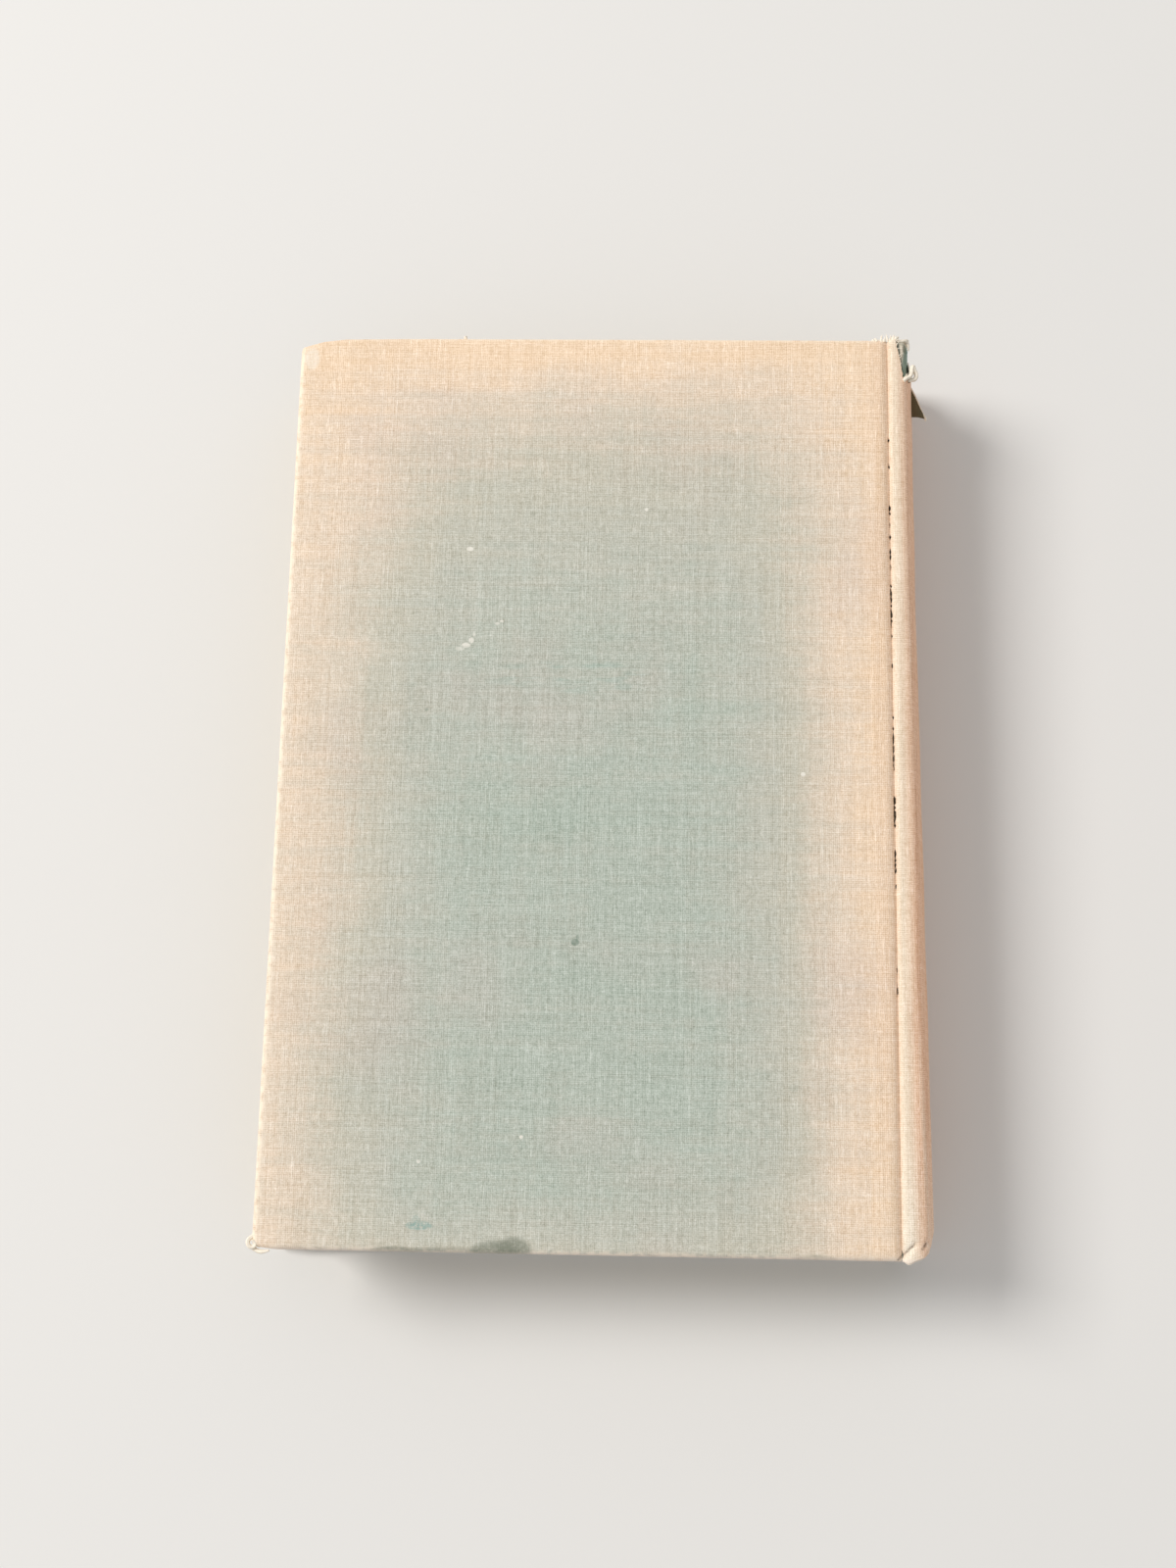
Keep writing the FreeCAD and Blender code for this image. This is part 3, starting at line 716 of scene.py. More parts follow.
def makeCoverCloth(name, front):
    set_ = coverCloth
    edge = set_["edgeRound"] * mm
    inner = set_["innerRound"] * mm
    rollX = jointX + set_["roll"] * mm
    reach = rollX - foreX - edge
    half = headY - edge
    piece = grid(name, clothFinish, set_, (rollX - reach / 2, 0, topZ))
    mode("EDIT")
    bpy.ops.transform.resize(value=(reach, 2 * half, 1), center_override=piece.location)
    mode("OBJECT")
    alone(piece)
    bpy.ops.object.transform_apply(location=True, rotation=False, scale=False)
    mode("EDIT")
    near = 0.01 * mm

    def onRim(e):
        ends = [v.co for v in e.verts]
        atFore = all(p.x < rollX - reach + near for p in ends)
        atEnd = all(abs(p.y) > half - near for p in ends)
        return e.is_boundary and (atFore or atEnd)

    pick(piece, "edges", onRim)
    level = topZ

    def foldOn(outward, down):
        nonlocal reach, half, level
        pull(0, 0, -down)
        level -= down
        wider = ((reach + outward) / reach, (half + outward) / half, 1)
        bpy.ops.transform.resize(value=wider, center_override=(rollX, 0, level))
        reach += outward
        half += outward

    def foldRound(radius, begin, steps):
        # a quarter of a turn in equal steps, from the angle begin
        angles = [begin + math.pi / 2 * n / steps for n in range(steps + 1)]
        for first, second in zip(angles, angles[1:]):
            foldOn(radius * (math.sin(second) - math.sin(first)), radius * (math.cos(first) - math.cos(second)))

    innerZ = pasteLow.z + set_["underPaste"] * mm
    foldRound(edge, 0, 5)
    foldOn(0, level - innerZ - inner)
    foldRound(inner, math.pi / 2, 3)
    for share in set_["turnInShares"]:
        foldOn(-(set_["turnIn"] * mm - inner) * share, 0)

    # across the groove to the cracked seam
    pick(piece, "edges", lambda e: e.is_boundary and all(abs(v.co.x - rollX) < near for v in e.verts))
    wasX, wasDrop, wasThick = rollX, 0.0, topZ - innerZ
    for across, drop, rise in (*set_["groove"], (joint["seam"], joint["seamDrop"], joint["seamRise"])):
        x = jointX + across * mm
        thick = topZ - drop * mm - (innerZ + rise * mm)
        pull(x - wasX, 0, wasDrop - drop * mm)
        bpy.ops.transform.resize(value=(1, 1, thick / wasThick), center_override=(x, 0, topZ - drop * mm))
        wasX, wasDrop, wasThick = x, drop * mm, thick
    mode("OBJECT")

    mesh = piece.data
    headRound = set_["cornerRound"] if front else set_["bumpedRound"]
    roundCorners(mesh, headRound * mm, [(foreX, -1, headY, 1)])
    roundCorners(mesh, set_["cornerRound"] * mm, [(foreX, -1, -headY, -1)])
    seamX = jointX + joint["seam"] * mm
    for vertex in mesh.vertices:
        if not front:
            bumpedCorner(vertex.co)
            if abs(vertex.co.x - seamX) < near:
                vertex.co.x -= crackWidth(vertex.co.y) / 2
        if vertex.co.z > topZ - 0.5 * mm:
            # uneven all over, and in short ridges towards the joint
            rolled = smoothStep(seamX / mm - 24, seamX / mm, vertex.co.x / mm)
            high = noise.noise((vertex.co.x * 30, vertex.co.y * 24, 5.0 if front else 1.0))
            ridge = noise.noise((vertex.co.x * 210, vertex.co.y * 11, 2.0)) * rolled * 0.5
            vertex.co.z += (high + ridge) * set_["wave"] * mm * 0.5
    flat = []
    for vertex in mesh.vertices:
        deep = min(max(topZ - vertex.co.z, 0), set_["edgeDeep"] * mm) / mm
        atFore = 1 if vertex.co.x < foreX + 4 * mm else 0
        atEnd = math.copysign(1, vertex.co.y) if abs(vertex.co.y) > headY - 4 * mm else 0
        hidden = smoothStep(innerZ + 0.7 * mm, innerZ + 0.3 * mm, vertex.co.z)
        runX = vertex.co.x / mm - deep * atFore + (set_["frontShift"] if front else 0)
        flat.append((runX, vertex.co.y / mm + deep * atEnd, hidden))
    laySheet(piece, flat)
    thicken(piece, set_["thick"])
    if front:
        turnedOver(piece)
    settle(piece)
    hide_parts("front_cover_cloth" if front else "back_cover_cloth")
    jointX - 1.9 * mm
    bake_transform(piece)


makeCoverCloth("backCoverCloth", front=False)
makeCoverCloth("frontCoverCloth", front=True)
print("book: covering cloth of the covers")


# Spine: its section runs from the back joint over the shoulder and round to the front joint

spine = {
    "radius": 24.31,
    "centre": -16.51,
    # from the seam up over the shoulder: distance past the joint line, height over mid-thickness, in mm
    "shoulder": (
        (0.35, 13.7), (0.45, 13.76), (0.62, 13.98), (0.86, 14.24), (1.2, 14.4), (1.7, 14.46), (2.2, 14.46), (2.9, 14.4),
        (3.6, 14.28), (4.2, 14.08), (4.7, 13.77), (5.1, 13.32), (5.43, 12.7), (5.7, 11.9), (5.92, 10.9), (6.1, 9.8),
    ),
    "roundFrom": 8.6,
    "roundSteps": 18,
    "foldRadius": 0.75,
    "turnIn": 14.5,
    "thick": 0.36,
    "columns": 76,
    "rows": 470,
    # a small nick in the middle of its height: y, half length, depth, in mm
    "nick": (-71.2, 0.8, 0.5),
    # height of the cloth's waves in mm, and the share of the fold radius that is left at the joints
    "wave": 0.16,
    "sharper": 0.55,
}


def sectionLine():
    back = [Vector((x, 0, height)) for x, height in spine["shoulder"]]
    limit = math.asin(spine["roundFrom"] / spine["radius"])
    round_ = []
    for n in range(spine["roundSteps"] + 1):
        angle = limit - 2 * limit * n / spine["roundSteps"]
        x = spine["centre"] + spine["radius"] * math.cos(angle)
        round_.append(Vector((x, 0, spine["radius"] * math.sin(angle))))
    front = [Vector((p.x, 0, -p.z)) for p in reversed(back)]
    return back + round_ + front


line = sectionLine()
lengths = [0.0]
for first, second in zip(line, line[1:]):
    lengths.append(lengths[-1] + (second - first).length)
girth = lengths[-1]


def onSection(run):
    # the point and the outward direction at a distance along the section, in mm
    run = min(max(run, 0), girth)
    number = next((n for n in range(1, len(line)) if lengths[n] >= run), len(line) - 1)
    share = (run - lengths[number - 1]) / (lengths[number] - lengths[number - 1])
    point = line[number - 1].lerp(line[number], share)

    def outward(n):
        before, after = line[max(n - 1, 0)], line[min(n + 1, len(line) - 1)]
        way = (after - before).normalized()
        return Vector((-way.z, 0, way.x))

    return point, outward(number - 1).lerp(outward(number), share).normalized()


def runAt(height):
    # distance along the section at a height over mid-thickness, on the round stretch
    number = next(n for n in range(len(line)) if lengths[n] > 6 and line[n].z <= height)
    return lengths[number]


def skew(y):
    # the spine leans: it swells further past the joint at the tail than at the head
    return max(-0.3, 0.15 - 0.0095 * y)


def awayFromJoints(run):
    # 0 at either joint, 1 from 6 mm on
    return min(smoothStep(1.0, 6.0, run), smoothStep(girth - 1.0, girth - 6.0, run))


def overSpine(run, y, raised):
    # the place in the frame of a point so far over the spine's outside
    point, out = onSection(run)
    spot = Vector((point.x + skew(y) * awayFromJoints(run), 0, point.z)) + out * raised
    return framePlace((spot.x, y, spot.z))


crush = {
    "reach": 8.5,
    "pull": 3.4,
    # a pouch of cloth pushed out beside the joint: distance past the joint line, half width, depth, in mm
    "pouch": (1.7, 1.5, 0.7),
    # how far in the cap is knocked, and from where to where round the spine that grows
    "inward": 0.75,
    "around": (2.6, 8.8),
    "foldDeep": 0.55,
    "foldHalf": 0.9,
    # creases: two ends as distance past the joint line and y, in mm
    "creases": (((-0.5, -104.5), (2.9, -101.4)), ((4.7, -102.4), (5.5, -101.2))),
}


def crushed(point, y):
    # the tail cap is knocked in towards the shelf side and creased
    nearTail = smoothStep(-headMm + crush["reach"], -headMm, y)
    around = smoothStep(*crush["around"], point.x)
    lift = crush["pull"] * nearTail * around
    pouchX, pouchHalf, pouchDeep = crush["pouch"]
    if point.z > 0:
        lift -= pouchDeep * nearTail * smoothStep(pouchHalf, 0.0, abs(point.x - pouchX))
    inward = crush["inward"] * nearTail * nearTail * around
    groove = 0.0
    here = Vector((point.x, y))
    for start, end in (map(Vector, ends) for ends in crush["creases"]):
        share = min(max((here - start).dot(end - start) / (end - start).length_squared, 0), 1)
        away = (here - start.lerp(end, share)).length
        if point.z > 0:
            groove = max(groove, crush["foldDeep"] * smoothStep(crush["foldHalf"], 0.0, away))
    nickY, nickHalf, nickDeep = spine["nick"]
    groove += nickDeep * smoothStep(nickHalf, 0.0, abs(y - nickY)) * smoothStep(4.0, 1.5, abs(point.z - 1.0))
    return lift, inward, groove


tear = {
    "left": ((2.2, 105.45), (3.6, 95.2)),
    # down the round of the spine: height over mid-thickness and y, in mm
    "right": ((3.5, 100.4), (-0.5, 102.5), (-4.0, 105.45)),
    "ragged": 0.28,
    # the turned-in tongue behind the tear: height where it ends, how far it springs out
    "tongueEnd": 9.6,
    "tongueSlant": 1.1,
    "tongueOut": 0.8,
}


def cutTear(piece):
    # cuts the missing scrap out of the flat cloth, along straight lines that are frayed afterwards
    flatLeft = [(next(lengths[n] for n in range(len(line)) if line[n].x >= x), y) for x, y in tear["left"]]
    right = [(runAt(height), y) for height, y in tear["right"]]
    outline = [Vector(place) for place in flatLeft + right]
    tongueRun = runAt(tear["tongueEnd"])
    hollow = [(tongueRun - tear["tongueSlant"], 122.5), (tongueRun + 0.8, 105.4), right[2], (right[2][0] + 2, 122.5)]
    hollow = [Vector((run, y)) for run, y in hollow]
    gone = 0.0
    alone(piece)
    mode("EDIT")
    for shape in (outline, hollow):
        gone += abs(sum(a.x * b.y - b.x * a.y for a, b in zip(shape, shape[1:] + shape[:1]))) / 2
        lowX, highX = min(p.x for p in shape) - 2, max(p.x for p in shape) + 2
        lowY, highY = min(p.y for p in shape) - 2, max(p.y for p in shape) + 2

        def close(face):
            middle = face.calc_center_median() / mm
            return lowX < middle.x < highX and lowY < middle.y < highY

        for first, second in zip(shape, shape[1:]):
            way = (second - first).normalized()
            pick(piece, "faces", close)
            bpy.ops.mesh.bisect(plane_co=(first.x * mm, first.y * mm, 0), plane_no=(-way.y, way.x, 0))

        def inside(face):
            middle = face.calc_center_median() / mm
            turns = []
            for first, second in zip(shape, shape[1:] + shape[:1]):
                edge = second - first
                turns.append(edge.x * (middle.y - first.y) - edge.y * (middle.x - first.x))
            return all(t > 0 for t in turns)

        pick(piece, "faces", inside)
        bpy.ops.mesh.delete(type="FACE")
    mesh = bmesh.from_edit_mesh(piece.data)
    for vertex in mesh.verts:
        run, y = vertex.co.x / mm, vertex.co.y / mm
        if vertex.is_boundary and 0.5 < run < girth - 0.5 and 90 < y < 120:
            fray = tear["ragged"] * mm
            vertex.co.x += noise.noise((run * 2.3, y * 2.3, 1.0)) * fray
            vertex.co.y += noise.noise((run * 2.3, y * 2.3, 9.0)) * fray * 1.3
    bmesh.update_edit_mesh(piece.data)
    mode("OBJECT")
    return outline, gone


def makeSpineCloth():
    set_ = spine
    fold = set_["foldRadius"]
    flatHalf = headMm - fold + math.pi * fold + set_["turnIn"]
    piece = grid("spineCloth", clothFinish, set_)
    mode("EDIT")
    size = (girth * mm, 2 * flatHalf * mm, 1)
    bpy.ops.transform.resize(value=size, center_override=(0, 0, 0))
    bpy.ops.transform.translate(value=(girth / 2 * mm, 0, 0))
    mode("OBJECT")
    outline, gone = cutTear(piece)
    flat = []
    for vertex in piece.data.vertices:
        run, length = vertex.co.x / mm, vertex.co.y / mm
        point, out = onSection(run)
        clear = awayFromJoints(run)
        bend = fold * (set_["sharper"] + (1 - set_["sharper"]) * clear)
        straight = headMm - bend
        sign = 1 if length > 0 else -1
        past = abs(length) - straight
        turn = min(max(past / bend, 0), math.pi)
        y = min(abs(length), straight) + bend * math.sin(turn) - max(past - math.pi * bend, 0)
        sunk = bend * (1 - math.cos(turn))
        hidden = smoothStep(bend * 1.2, bend * 1.8, sunk)
        if sign > 0:
            tongue = smoothStep(outline[0].x, outline[0].x + 3, run) * smoothStep(outline[4].x, outline[2].x, run)
            sunk -= tear["tongueOut"] * tongue * smoothStep(bend, bend * 2, sunk)
        y *= sign
        lift, inward, groove = crushed(point, y)
        wave = noise.noise((run * 0.16, y * 0.05, 4.0)) * set_["wave"] * clear
        x = point.x + skew(y) * clear * (1 if sunk < 0.8 else 0)
        spot = Vector((x, 0, point.z)) - out * (sunk + inward + groove - wave)
        if run < 0.02:
            spot.x += crackWidth(y * mm) / mm / 2
        vertex.co = framePlace((spot.x, y + lift, spot.z))
        flat.append((jointMm + run, length, hidden))
    laySheet(piece, flat)
    thicken(piece, set_["thick"])
    settle(piece)
    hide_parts("spine_cloth")
    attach(piece, "book_block")
    wide, long = round(girth * mm, 4), round(2 * flatHalf * mm, 4)
    area = wide * long - gone * mm * mm
    print("book: spine cloth", wide, "by", long, "m flat, torn away", round(gone), "square mm")
    return outline


tearOutline = makeSpineCloth()
print("book: covering cloth of the spine")


# Spine card inside the cloth, torn off below the missing scrap of cloth

inlay = {
    "outer": 0.42,
    "thick": 0.66,
    "length": 103.6,
    "columns": 40,
    "rows": 120,
    # how high over mid-thickness its long edges lie, and y of the torn edge
    "edges": 13.2,
    "torn": 94.4,
}


def makeSpineInlay():
    piece = grid("spineInlay", cardFinish, inlay)
    first = runAt(inlay["edges"])
    last = girth - first
    for vertex in piece.data.vertices:
        run = first + (vertex.co.x + 0.5) * (last - first)
        point, out = onSection(run)
        notch = smoothStep(-5.5, -2.0, point.z)
        lost = inlay["length"] - inlay["torn"]
        top = inlay["length"] - lost * notch + noise.noise((run * 1.1, 0, 6.0)) * 0.6 * notch
        spot = point - out * inlay["outer"]
        vertex.co = framePlace((spot.x, min(vertex.co.y * 2 * inlay["length"], top), spot.z))
    alone(piece)
    mode("EDIT")
    bpy.ops.mesh.select_all(action="SELECT")
    bpy.ops.mesh.remove_doubles(threshold=0.02 * mm)
    mode("OBJECT")
    thicken(piece, inlay["thick"])
    settle(piece)
    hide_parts("spine_inlay")
    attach(piece, "book_block")


makeSpineInlay()
print("book: spine card")


# Leaves

leaves = {
    "count": 180,
    "perSection": 8,
    "fill": 0.93,
    "foreHollow": 3.4,
    "spineRise": 4.2,
    "shoulder": 1.183,
    "bendFrom": -0.4,
    "bendTo": 1.2,
    "trim": 0.035,
    "start": 0.16,
    # where a leaf of unit length is cut: the cuts that lie at a fixed distance from the joint line
    # with that distance in mm, and the cuts that follow the round of the spine
    "columns": {0.30: -9.0, 0.36: -3.0, 0.40: -0.8},
    "roundCuts": (0.43, 0.455, 0.475),
    "roundStart": 0.41,
}


def makeLeaves():
    set_ = leaves
    half = (flyLow.z - middleZ) / mm
    foreEdge, headEdge = blockLow.x / mm, blockHigh.y / mm
    tip = half * set_["shoulder"]
    radius = (tip ** 2 + set_["spineRise"] ** 2) / (2 * set_["spineRise"])
    centre = jointMm + set_["bendTo"] + set_["spineRise"] - radius
    pitch = 2 * half / set_["count"]
    bpy.ops.mesh.primitive_cube_add(size=1)
    piece = named("textBlock", pageFinish)
    mode("EDIT")
    for cut in (*set_["columns"], *set_["roundCuts"]):
        bpy.ops.mesh.select_all(action="SELECT")
        bpy.ops.mesh.bisect(plane_co=(cut, 0, 0), plane_no=(1, 0, 0))
    mode("OBJECT")
    perLeaf = len(piece.data.vertices)
    modify(
        piece, "ARRAY", count=set_["count"], use_relative_offset=False,
        use_constant_offset=True, constant_offset_displace=(0, 0, 2),
    )
    picks = random.Random(7)
    sections = [picks.uniform(-1, 1) for _ in range(set_["count"] // set_["perSection"] + 2)]
    trims = [[picks.uniform(-1, 1) for _ in range(3)] for _ in range(set_["count"])]
    bent = jointMm + set_["bendFrom"]
    for number, vertex in enumerate(piece.data.vertices):
        leaf = number // perLeaf
        along, side = vertex.co.x, vertex.co.z - 2 * leaf
        level = -half + pitch * (leaf + 0.5 + side * set_["fill"])
        share = level / half
        started = sections[leaf // set_["perSection"]] * set_["start"]
        foreTrim, headTrim, tailTrim = trims[leaf]
        fore = foreEdge + set_["foreHollow"] * (1 - share * share) + started * 0.6 + foreTrim * set_["trim"]
        back = centre + math.sqrt(radius ** 2 - min((level * set_["shoulder"]) ** 2, radius ** 2))
        if along < -0.4:
            x = fore
        elif along < set_["roundStart"]:
            nearest = min(set_["columns"], key=lambda cut: abs(cut - along))
            x = jointMm + set_["columns"][nearest]
        else:
            x = bent + (back - bent) * (along - set_["roundStart"]) / (0.5 - set_["roundStart"])
        past = x - jointMm
        level *= 1 + (set_["shoulder"] - 1) * smoothStep(set_["bendFrom"], set_["bendTo"], past)
        trim = headTrim if vertex.co.y > 0 else tailTrim
        y = math.copysign(headEdge + trim * set_["trim"] - 0.05 + started * 0.1, vertex.co.y)
        vertex.co = Vector((x * mm, y * mm, middleZ + level * mm))
    settle(piece, smooth=25)
    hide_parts("text_block")
    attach(piece, "book_block")


makeLeaves()
print("book: leaves")


# Endpapers: one folded sheet a side, free on the block and pasted down on the cover

endpaper = {
    "thick": 0.13,
    "halfHeight": 101.3,
    "columns": 24,
    "rows": 40,
    "turnIn": 15.0,
    "sunk": 0.28,
    "cockle": 0.03,
    "overTurnIn": 0.4,
    # the hinge between the two halves: distance past the joint line, share of the way up
    "hinge": ((0.35, 0.0), (0.3, 0.12), (-0.1, 0.3), (-0.7, 0.55), (-1.2, 0.8), (-1.75, 1.0)),
}


def makeEndpaper(name, front):
    set_ = endpaper
    flyZ = (flyLow.z + flyHigh.z) / 2
    pasteZ = pasteLow.z + 0.075 * mm
    piece = grid(name, endpaperFinish, set_)
    mode("EDIT")
    size = (flyHigh.x - flyLow.x, 2 * set_["halfHeight"] * mm, 1)
    bpy.ops.transform.resize(value=size, center_override=(0, 0, 0))
    middle = ((flyLow.x + jointX + set_["hinge"][0][0] * mm) / 2, 0, flyZ)
    bpy.ops.transform.translate(value=middle)
    edgeX = middle[0] + size[0] / 2
    pick(piece, "edges", lambda e: e.is_boundary and all(v.co.x > edgeX - 0.01 * mm for v in e.verts))
    wasX, wasZ = edgeX, flyZ
    for across, share in set_["hinge"][1:]:
        x, z = jointX + across * mm, flyZ + (pasteZ - flyZ) * share
        pull(x - wasX, 0, z - wasZ)
        wasX, wasZ = x, z

    # the pasted half lies on the turned-in cloth, and sinks onto the board between
    inX = foreX + (set_["turnIn"] + set_["overTurnIn"]) * mm
    stops = [wasX + (inX - wasX) * n / 18 for n in range(1, 19)] + [inX - 0.5 * mm, pasteLow.x]
    for x in stops:
        pull(x - wasX, 0, 0)
        wasX = x
    inY = headY - (set_["turnIn"] + set_["overTurnIn"]) * mm
    for y in (inY, inY + 0.5 * mm, -inY, -inY - 0.5 * mm):
        pick(piece, "faces", lambda face: face.calc_center_median().z > pasteZ - 0.01 * mm)
        bpy.ops.mesh.bisect(plane_co=(0, y, 0), plane_no=(0, 1, 0))
    mode("OBJECT")
    for vertex in piece.data.vertices:
        if vertex.co.z > pasteZ - 0.01 * mm:
            level = smoothStep(inX - 0.4 * mm, inX - 0.1 * mm, vertex.co.x)
            level *= smoothStep(inY + 0.4 * mm, inY + 0.1 * mm, abs(vertex.co.y))
            cockle = noise.noise((vertex.co.x * 60, vertex.co.y * 45, 8.0)) * set_["cockle"]
            vertex.co.z += (set_["sunk"] * level + cockle * level) * mm
    thicken(piece, set_["thick"], side=0)
    if front:
        turnedOver(piece)
    settle(piece)
    side = "front" if front else "back"
    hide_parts(side + "_flyleaf", side + "_pastedown")
    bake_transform(piece)


makeEndpaper("backEndpaper", front=False)
makeEndpaper("frontEndpaper", front=True)
print("book: endpapers")


# Headbands: the cord of the frame's band, wound with cotton

# how far the cord's outside lies under the spine's, and how far its middle lies off the block
band = {"pitch": 0.55, "radius": 0.83, "thread": 0.2, "turnsClear": 0.4, "under": 2.2, "off": 0.8}


def makeBandWinding(name, node, headEnd):
    low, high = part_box(node)
    sign = 1 if headEnd else -1
    axisX = jointX + spine["centre"] * mm
    cordY = (blockHigh.y + band["off"] * mm) * sign
    ringRadius = spine["radius"] * mm - band["under"] * mm - band["radius"] * mm
    limit = math.asin((high.z - middleZ - band["turnsClear"] * mm) / (ringRadius + band["radius"] * mm))
    count = int(2 * limit * ringRadius / (band["pitch"] * mm))
    rings = []
    for n in range(count + 1):
        angle = -limit + 2 * limit * n / count
        spot = Vector((axisX + ringRadius * math.cos(angle), cordY, middleZ + ringRadius * math.sin(angle)))
        bpy.ops.mesh.primitive_torus_add(
            location=spot, rotation=(0, -angle, 0), major_segments=12, minor_segments=5,
            major_radius=band["radius"] * mm, minor_radius=band["thread"] * mm,
        )
        rings.append(bpy.context.object)
    piece = joined(name, rings, bandFinish)
    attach(piece, "book_block")


makeBandWinding("headBandWinding", "head_band", headEnd=True)
makeBandWinding("tailBandWinding", "tail_band", headEnd=False)
print("book: headbands")


# Torn and frayed places. Each strand is its points past the joint line, along y and over mid-thickness, in mm

frays = {
    "thread": 0.1,
    "lengths": (0.5, 1.5),
    "tuft": (0.16, 0.3),
    # tufts at the head of the joint, on each side of it
    "tufts": 9,
    "tuftHeight": (13.8, 14.0),
    # threads along each stretch of the torn edge, and the way they point
    "edges": ((8, (0.5, 0.7, 0)), (12, (0.25, 0.9, 0.3)), (5, (0.5, 0.6, 0.5))),
    # rolled scrap at the foot of the tear, as one thick twist of threads
    "curl": (
        (3.9, 94.6, 14.0), (4.7, 95.5, 13.8), (5.5, 95.8, 13.5), (5.95, 96.6, 13.5), (6.0, 97.8, 13.6),
        (6.3, 98.6, 13.5), (6.6, 98.2, 13.3), (6.7, 97.6, 13.1), (7.15, 97.0, 12.9), (7.2, 96.2, 12.7),
        (6.8, 95.6, 12.6), (6.1, 95.4, 12.7), (5.3, 95.0, 13.2),
    ),
    "curlThreads": (0.5, 0.42, 0.26, 0.2, 0.14),
    # white frayed rim of the turned-in cloth at the head
    "rim": (
        ((2.5, 104.6, 14.0), (3.4, 104.6, 13.8), (4.2, 104.9, 13.6), (5.2, 105.0, 13.2), (5.5, 104.5, 12.9)),
        ((3.0, 104.8, 13.7), (4.1, 105.1, 13.4), (5.0, 105.2, 13.0), (5.6, 104.8, 12.4)),
        ((4.4, 104.9, 13.2), (5.0, 105.5, 13.1), (5.5, 105.2, 12.7)),
        ((2.2, 104.9, 14.0), (2.5, 105.6, 14.0), (3.1, 105.7, 13.8)),
        ((5.3, 104.8, 12.7), (5.6, 104.0, 12.5), (5.5, 103.0, 12.3)),
    ),
    "rimThread": 0.4,
    # scraps of the cloth's unfaded side, darkened by painted shade, the sliver near black where it stands in the
    # hollow's shade: upper, lower and outer corner
    "scraps": {
        "spineScrap": ((7.0, 96.9, 5.0), (7.0, 89.7, 4.6), (10.2, 89.3, 4.2)),
        "tornSliver": ((5.5, 100.6, 10.9), (4.35, 95.1, 12.0), (5.75, 95.0, 12.2)),
    },
    "scrapThick": 0.12,
    "scrapThread": 0.17,
    "cornerCurl": (
        (-137.0, -102.2, 13.6), (-138.2, -102.9, 14.0), (-138.3, -104.0, 14.1), (-137.5, -104.8, 14.0),
        (-136.6, -104.4, 13.9), (-136.6, -103.5, 14.1), (-137.3, -103.2, 14.5),
    ),
    "cornerShred": ((-137.2, -104.9, 13.2), (-136.1, -105.5, 13.4), (-134.9, -105.6, 13.8), (-133.6, -105.3, 14.2)),
    "cornerThread": 0.46,
    "speck": (-98.7, 105.2, 13.9),
    "speckRadius": 0.4,
    # the end of the thread at the scrap's outer corner, from that corner
    "scrapEnd": ((-0.45, 1.2, 0.3), (-0.05, 0.4, 0.35), (0.25, -0.1, 0.3), (0.1, -0.5, 0.2)),
    "scrapEndThread": 0.3,
}


def makeStrand(places, radius, tip=0.5):
    path = bpy.data.curves.new("strand", "CURVE")
    path.dimensions = "3D"
    path.resolution_u = 4
    path.bevel_depth = radius * mm
    path.bevel_resolution = 1
    path.use_fill_caps = True
    spline = path.splines.new("NURBS")
    spline.points.add(len(places) - 1)
    for number, (point, place) in enumerate(zip(spline.points, places)):
        point.co = (*place, 1)
        point.radius = 1 if number < len(places) - 1 else tip
    spline.order_u = 3
    spline.use_endpoint_u = True
    strand = bpy.data.objects.new("strand", path)
    bpy.context.collection.objects.link(strand)
    return strand


def makeSpeck(place, radius):
    bpy.ops.mesh.primitive_ico_sphere_add(subdivisions=3, radius=radius * mm, location=place)
    speck = bpy.context.object
    for vertex in speck.data.vertices:
        vertex.co *= 1 + 0.5 * noise.noise(vertex.co / mm * 3.0 + place / mm)
    return speck


def joinStrands(name, strands, body):
    piece = joined(name, strands, threadFinish)
    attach(piece, body)


def makeFray(picks, foot, way, length, thick=frays["thread"]):
    # a loose thread end that leaves the torn edge and curls, nearly level
    sway = Vector([picks.uniform(-0.5, 0.5) * share for share in (1, 1, 0.3)])
    reach = length * mm
    return makeStrand(
        [foot - way * reach * 0.3, foot, foot + way * reach * 0.5 + sway * reach * 0.3, foot + (way + sway) * reach],
        thick * picks.uniform(0.7, 1.3),
        tip=0.15,
    )


def makeTufts(picks, past, y, way, reach):
    # short tufts of the cloth that bends over the joint
    tufts = []
    for n in range(frays["tufts"]):
        foot = framePlace((picks.uniform(*past), y, picks.uniform(*frays["tuftHeight"])))
        thick = picks.uniform(*frays["tuft"])
        tufts.append(makeFray(picks, foot, Vector(way), picks.uniform(*reach), thick))
    return tufts


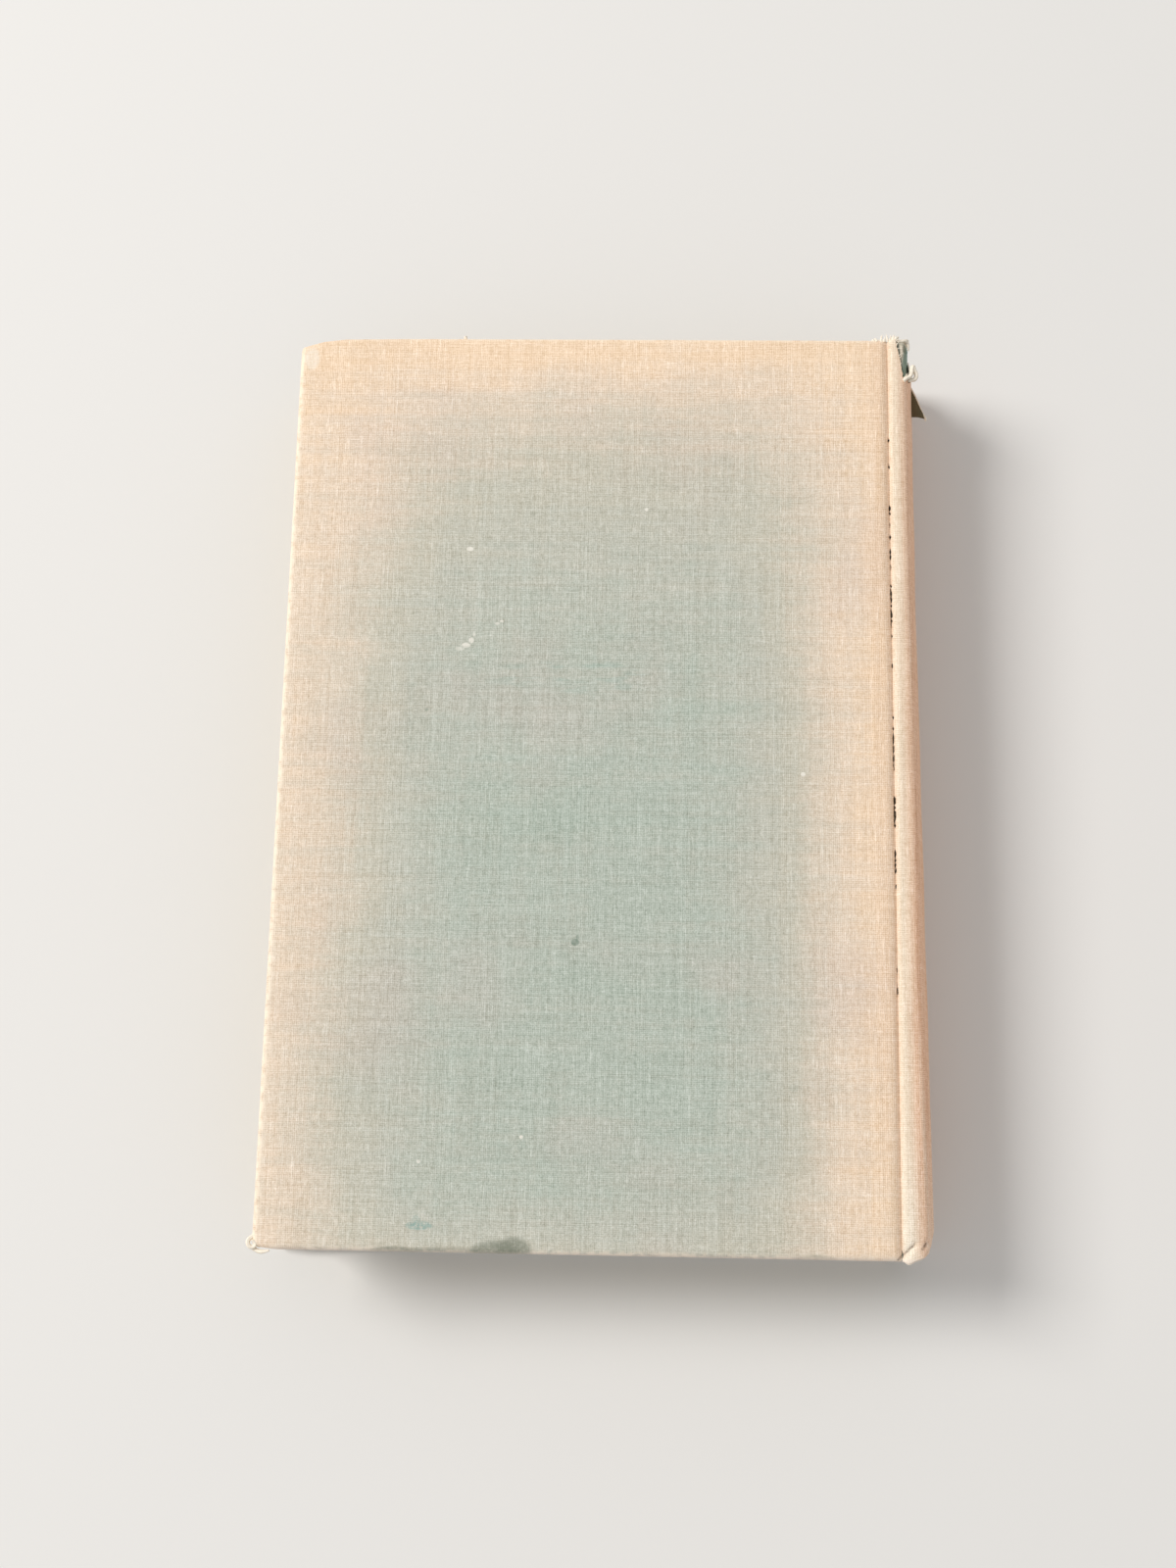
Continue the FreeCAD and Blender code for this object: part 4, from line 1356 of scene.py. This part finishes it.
def makeTornEdges():
    picks = random.Random(11)
    strands = []
    for first, second, (count, way) in zip(tearOutline, tearOutline[1:], frays["edges"]):
        for n in range(count):
            place = first.lerp(second, picks.random())
            if place.y < 105.4:
                foot = overSpine(place.x, place.y, -0.1)
                strands.append(makeFray(picks, foot, Vector(way).normalized(), picks.uniform(*frays["lengths"])))
    strands += makeTufts(picks, (0.5, 2.2), 104.8, (-0.1, 0.95, 0), (0.7, 1.4))
    for radius in frays["curlThreads"]:
        shift = Vector([picks.uniform(-0.3, 0.3) for _ in range(3)]) * (0.5 - radius) / 0.3
        strands.append(makeStrand([framePlace(spot) + shift * mm for spot in frays["curl"]], radius))
    for spots in frays["rim"]:
        strands.append(makeStrand([framePlace(spot) for spot in spots], frays["rimThread"] * picks.uniform(0.7, 1.1)))
    joinStrands("headFrays", strands, "book_block")

    coverFrays = makeTufts(picks, (-3.1, 0.1), 104.7, (-0.15, 0.95, 0), (0.6, 1.2))
    coverFrays.append(makeSpeck(framePlace(frays["speck"]), frays["speckRadius"]))
    for radius in (1.0, 0.6):
        shift = Vector([picks.uniform(-0.2, 0.2) for _ in range(3)]) * (1 - radius)
        for spots in (frays["cornerCurl"], frays["cornerShred"]):
            coverFrays.append(
                makeStrand([framePlace(spot) + shift * mm for spot in spots], frays["cornerThread"] * radius)
            )
    joinStrands("backCoverFrays", coverFrays, "back_cover")


def makeScrap(name):
    # a thin three-cornered scrap that stands off the torn spine
    top, low, tip = (framePlace(spot) for spot in frays["scraps"][name])
    piece = grid(name, scrapFinish, {"columns": 8, "rows": 16})
    for vertex in piece.data.vertices:
        across, down = vertex.co.x + 0.5, 0.5 - vertex.co.y
        place = top.lerp(low, down) + (tip - low) * across * max(down, 0.02)
        bulge = math.sin(across * 2.4) * 0.16 * (tip - low).length / mm * down
        place.z += (bulge + noise.noise(place / mm * 0.7) * 0.2 * down) * mm
        vertex.co = place
    thicken(piece, frays["scrapThick"], side=0)
    settle(piece)
    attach(piece, "book_block")


def makeScrapThreads():
    # the pale threads left along the outer edges of both scraps
    strands = []
    for top, low, tip in frays["scraps"].values():
        top, tip = framePlace(top), framePlace(tip)
        over = Vector((0.1, 0, 0.3)) * mm
        strands.append(makeStrand([top.lerp(tip, n / 4) + over * min(n, 1) for n in range(5)], frays["scrapThread"]))
    tip = framePlace(frays["scraps"]["spineScrap"][2])
    places = [tip + Vector(way) * mm for way in frays["scrapEnd"]]
    strands.append(makeStrand(places, frays["scrapEndThread"]))
    joinStrands("spineThread", strands, "book_block")


makeTornEdges()
for name in frays["scraps"]:
    makeScrap(name)
makeScrapThreads()
print("book: torn and frayed places")


# Frame nodes that stay as they are, with finishes of their own

kept = {
    "back_board": boardFinish,
    "front_board": boardFinish,
    "back_mull_flap": gauzeFinish,
    "front_mull_flap": gauzeFinish,
    "spine_mull": gauzeFinish,
    "spine_lining": liningFinish,
    "head_band": bandFinish,
    "tail_band": bandFinish,
}
for node, finish in kept.items():
    mesh = frame["nodes"][node].data
    mesh.materials.clear()
    mesh.materials.append(finish)
print("book: finishes on the frame's own nodes")
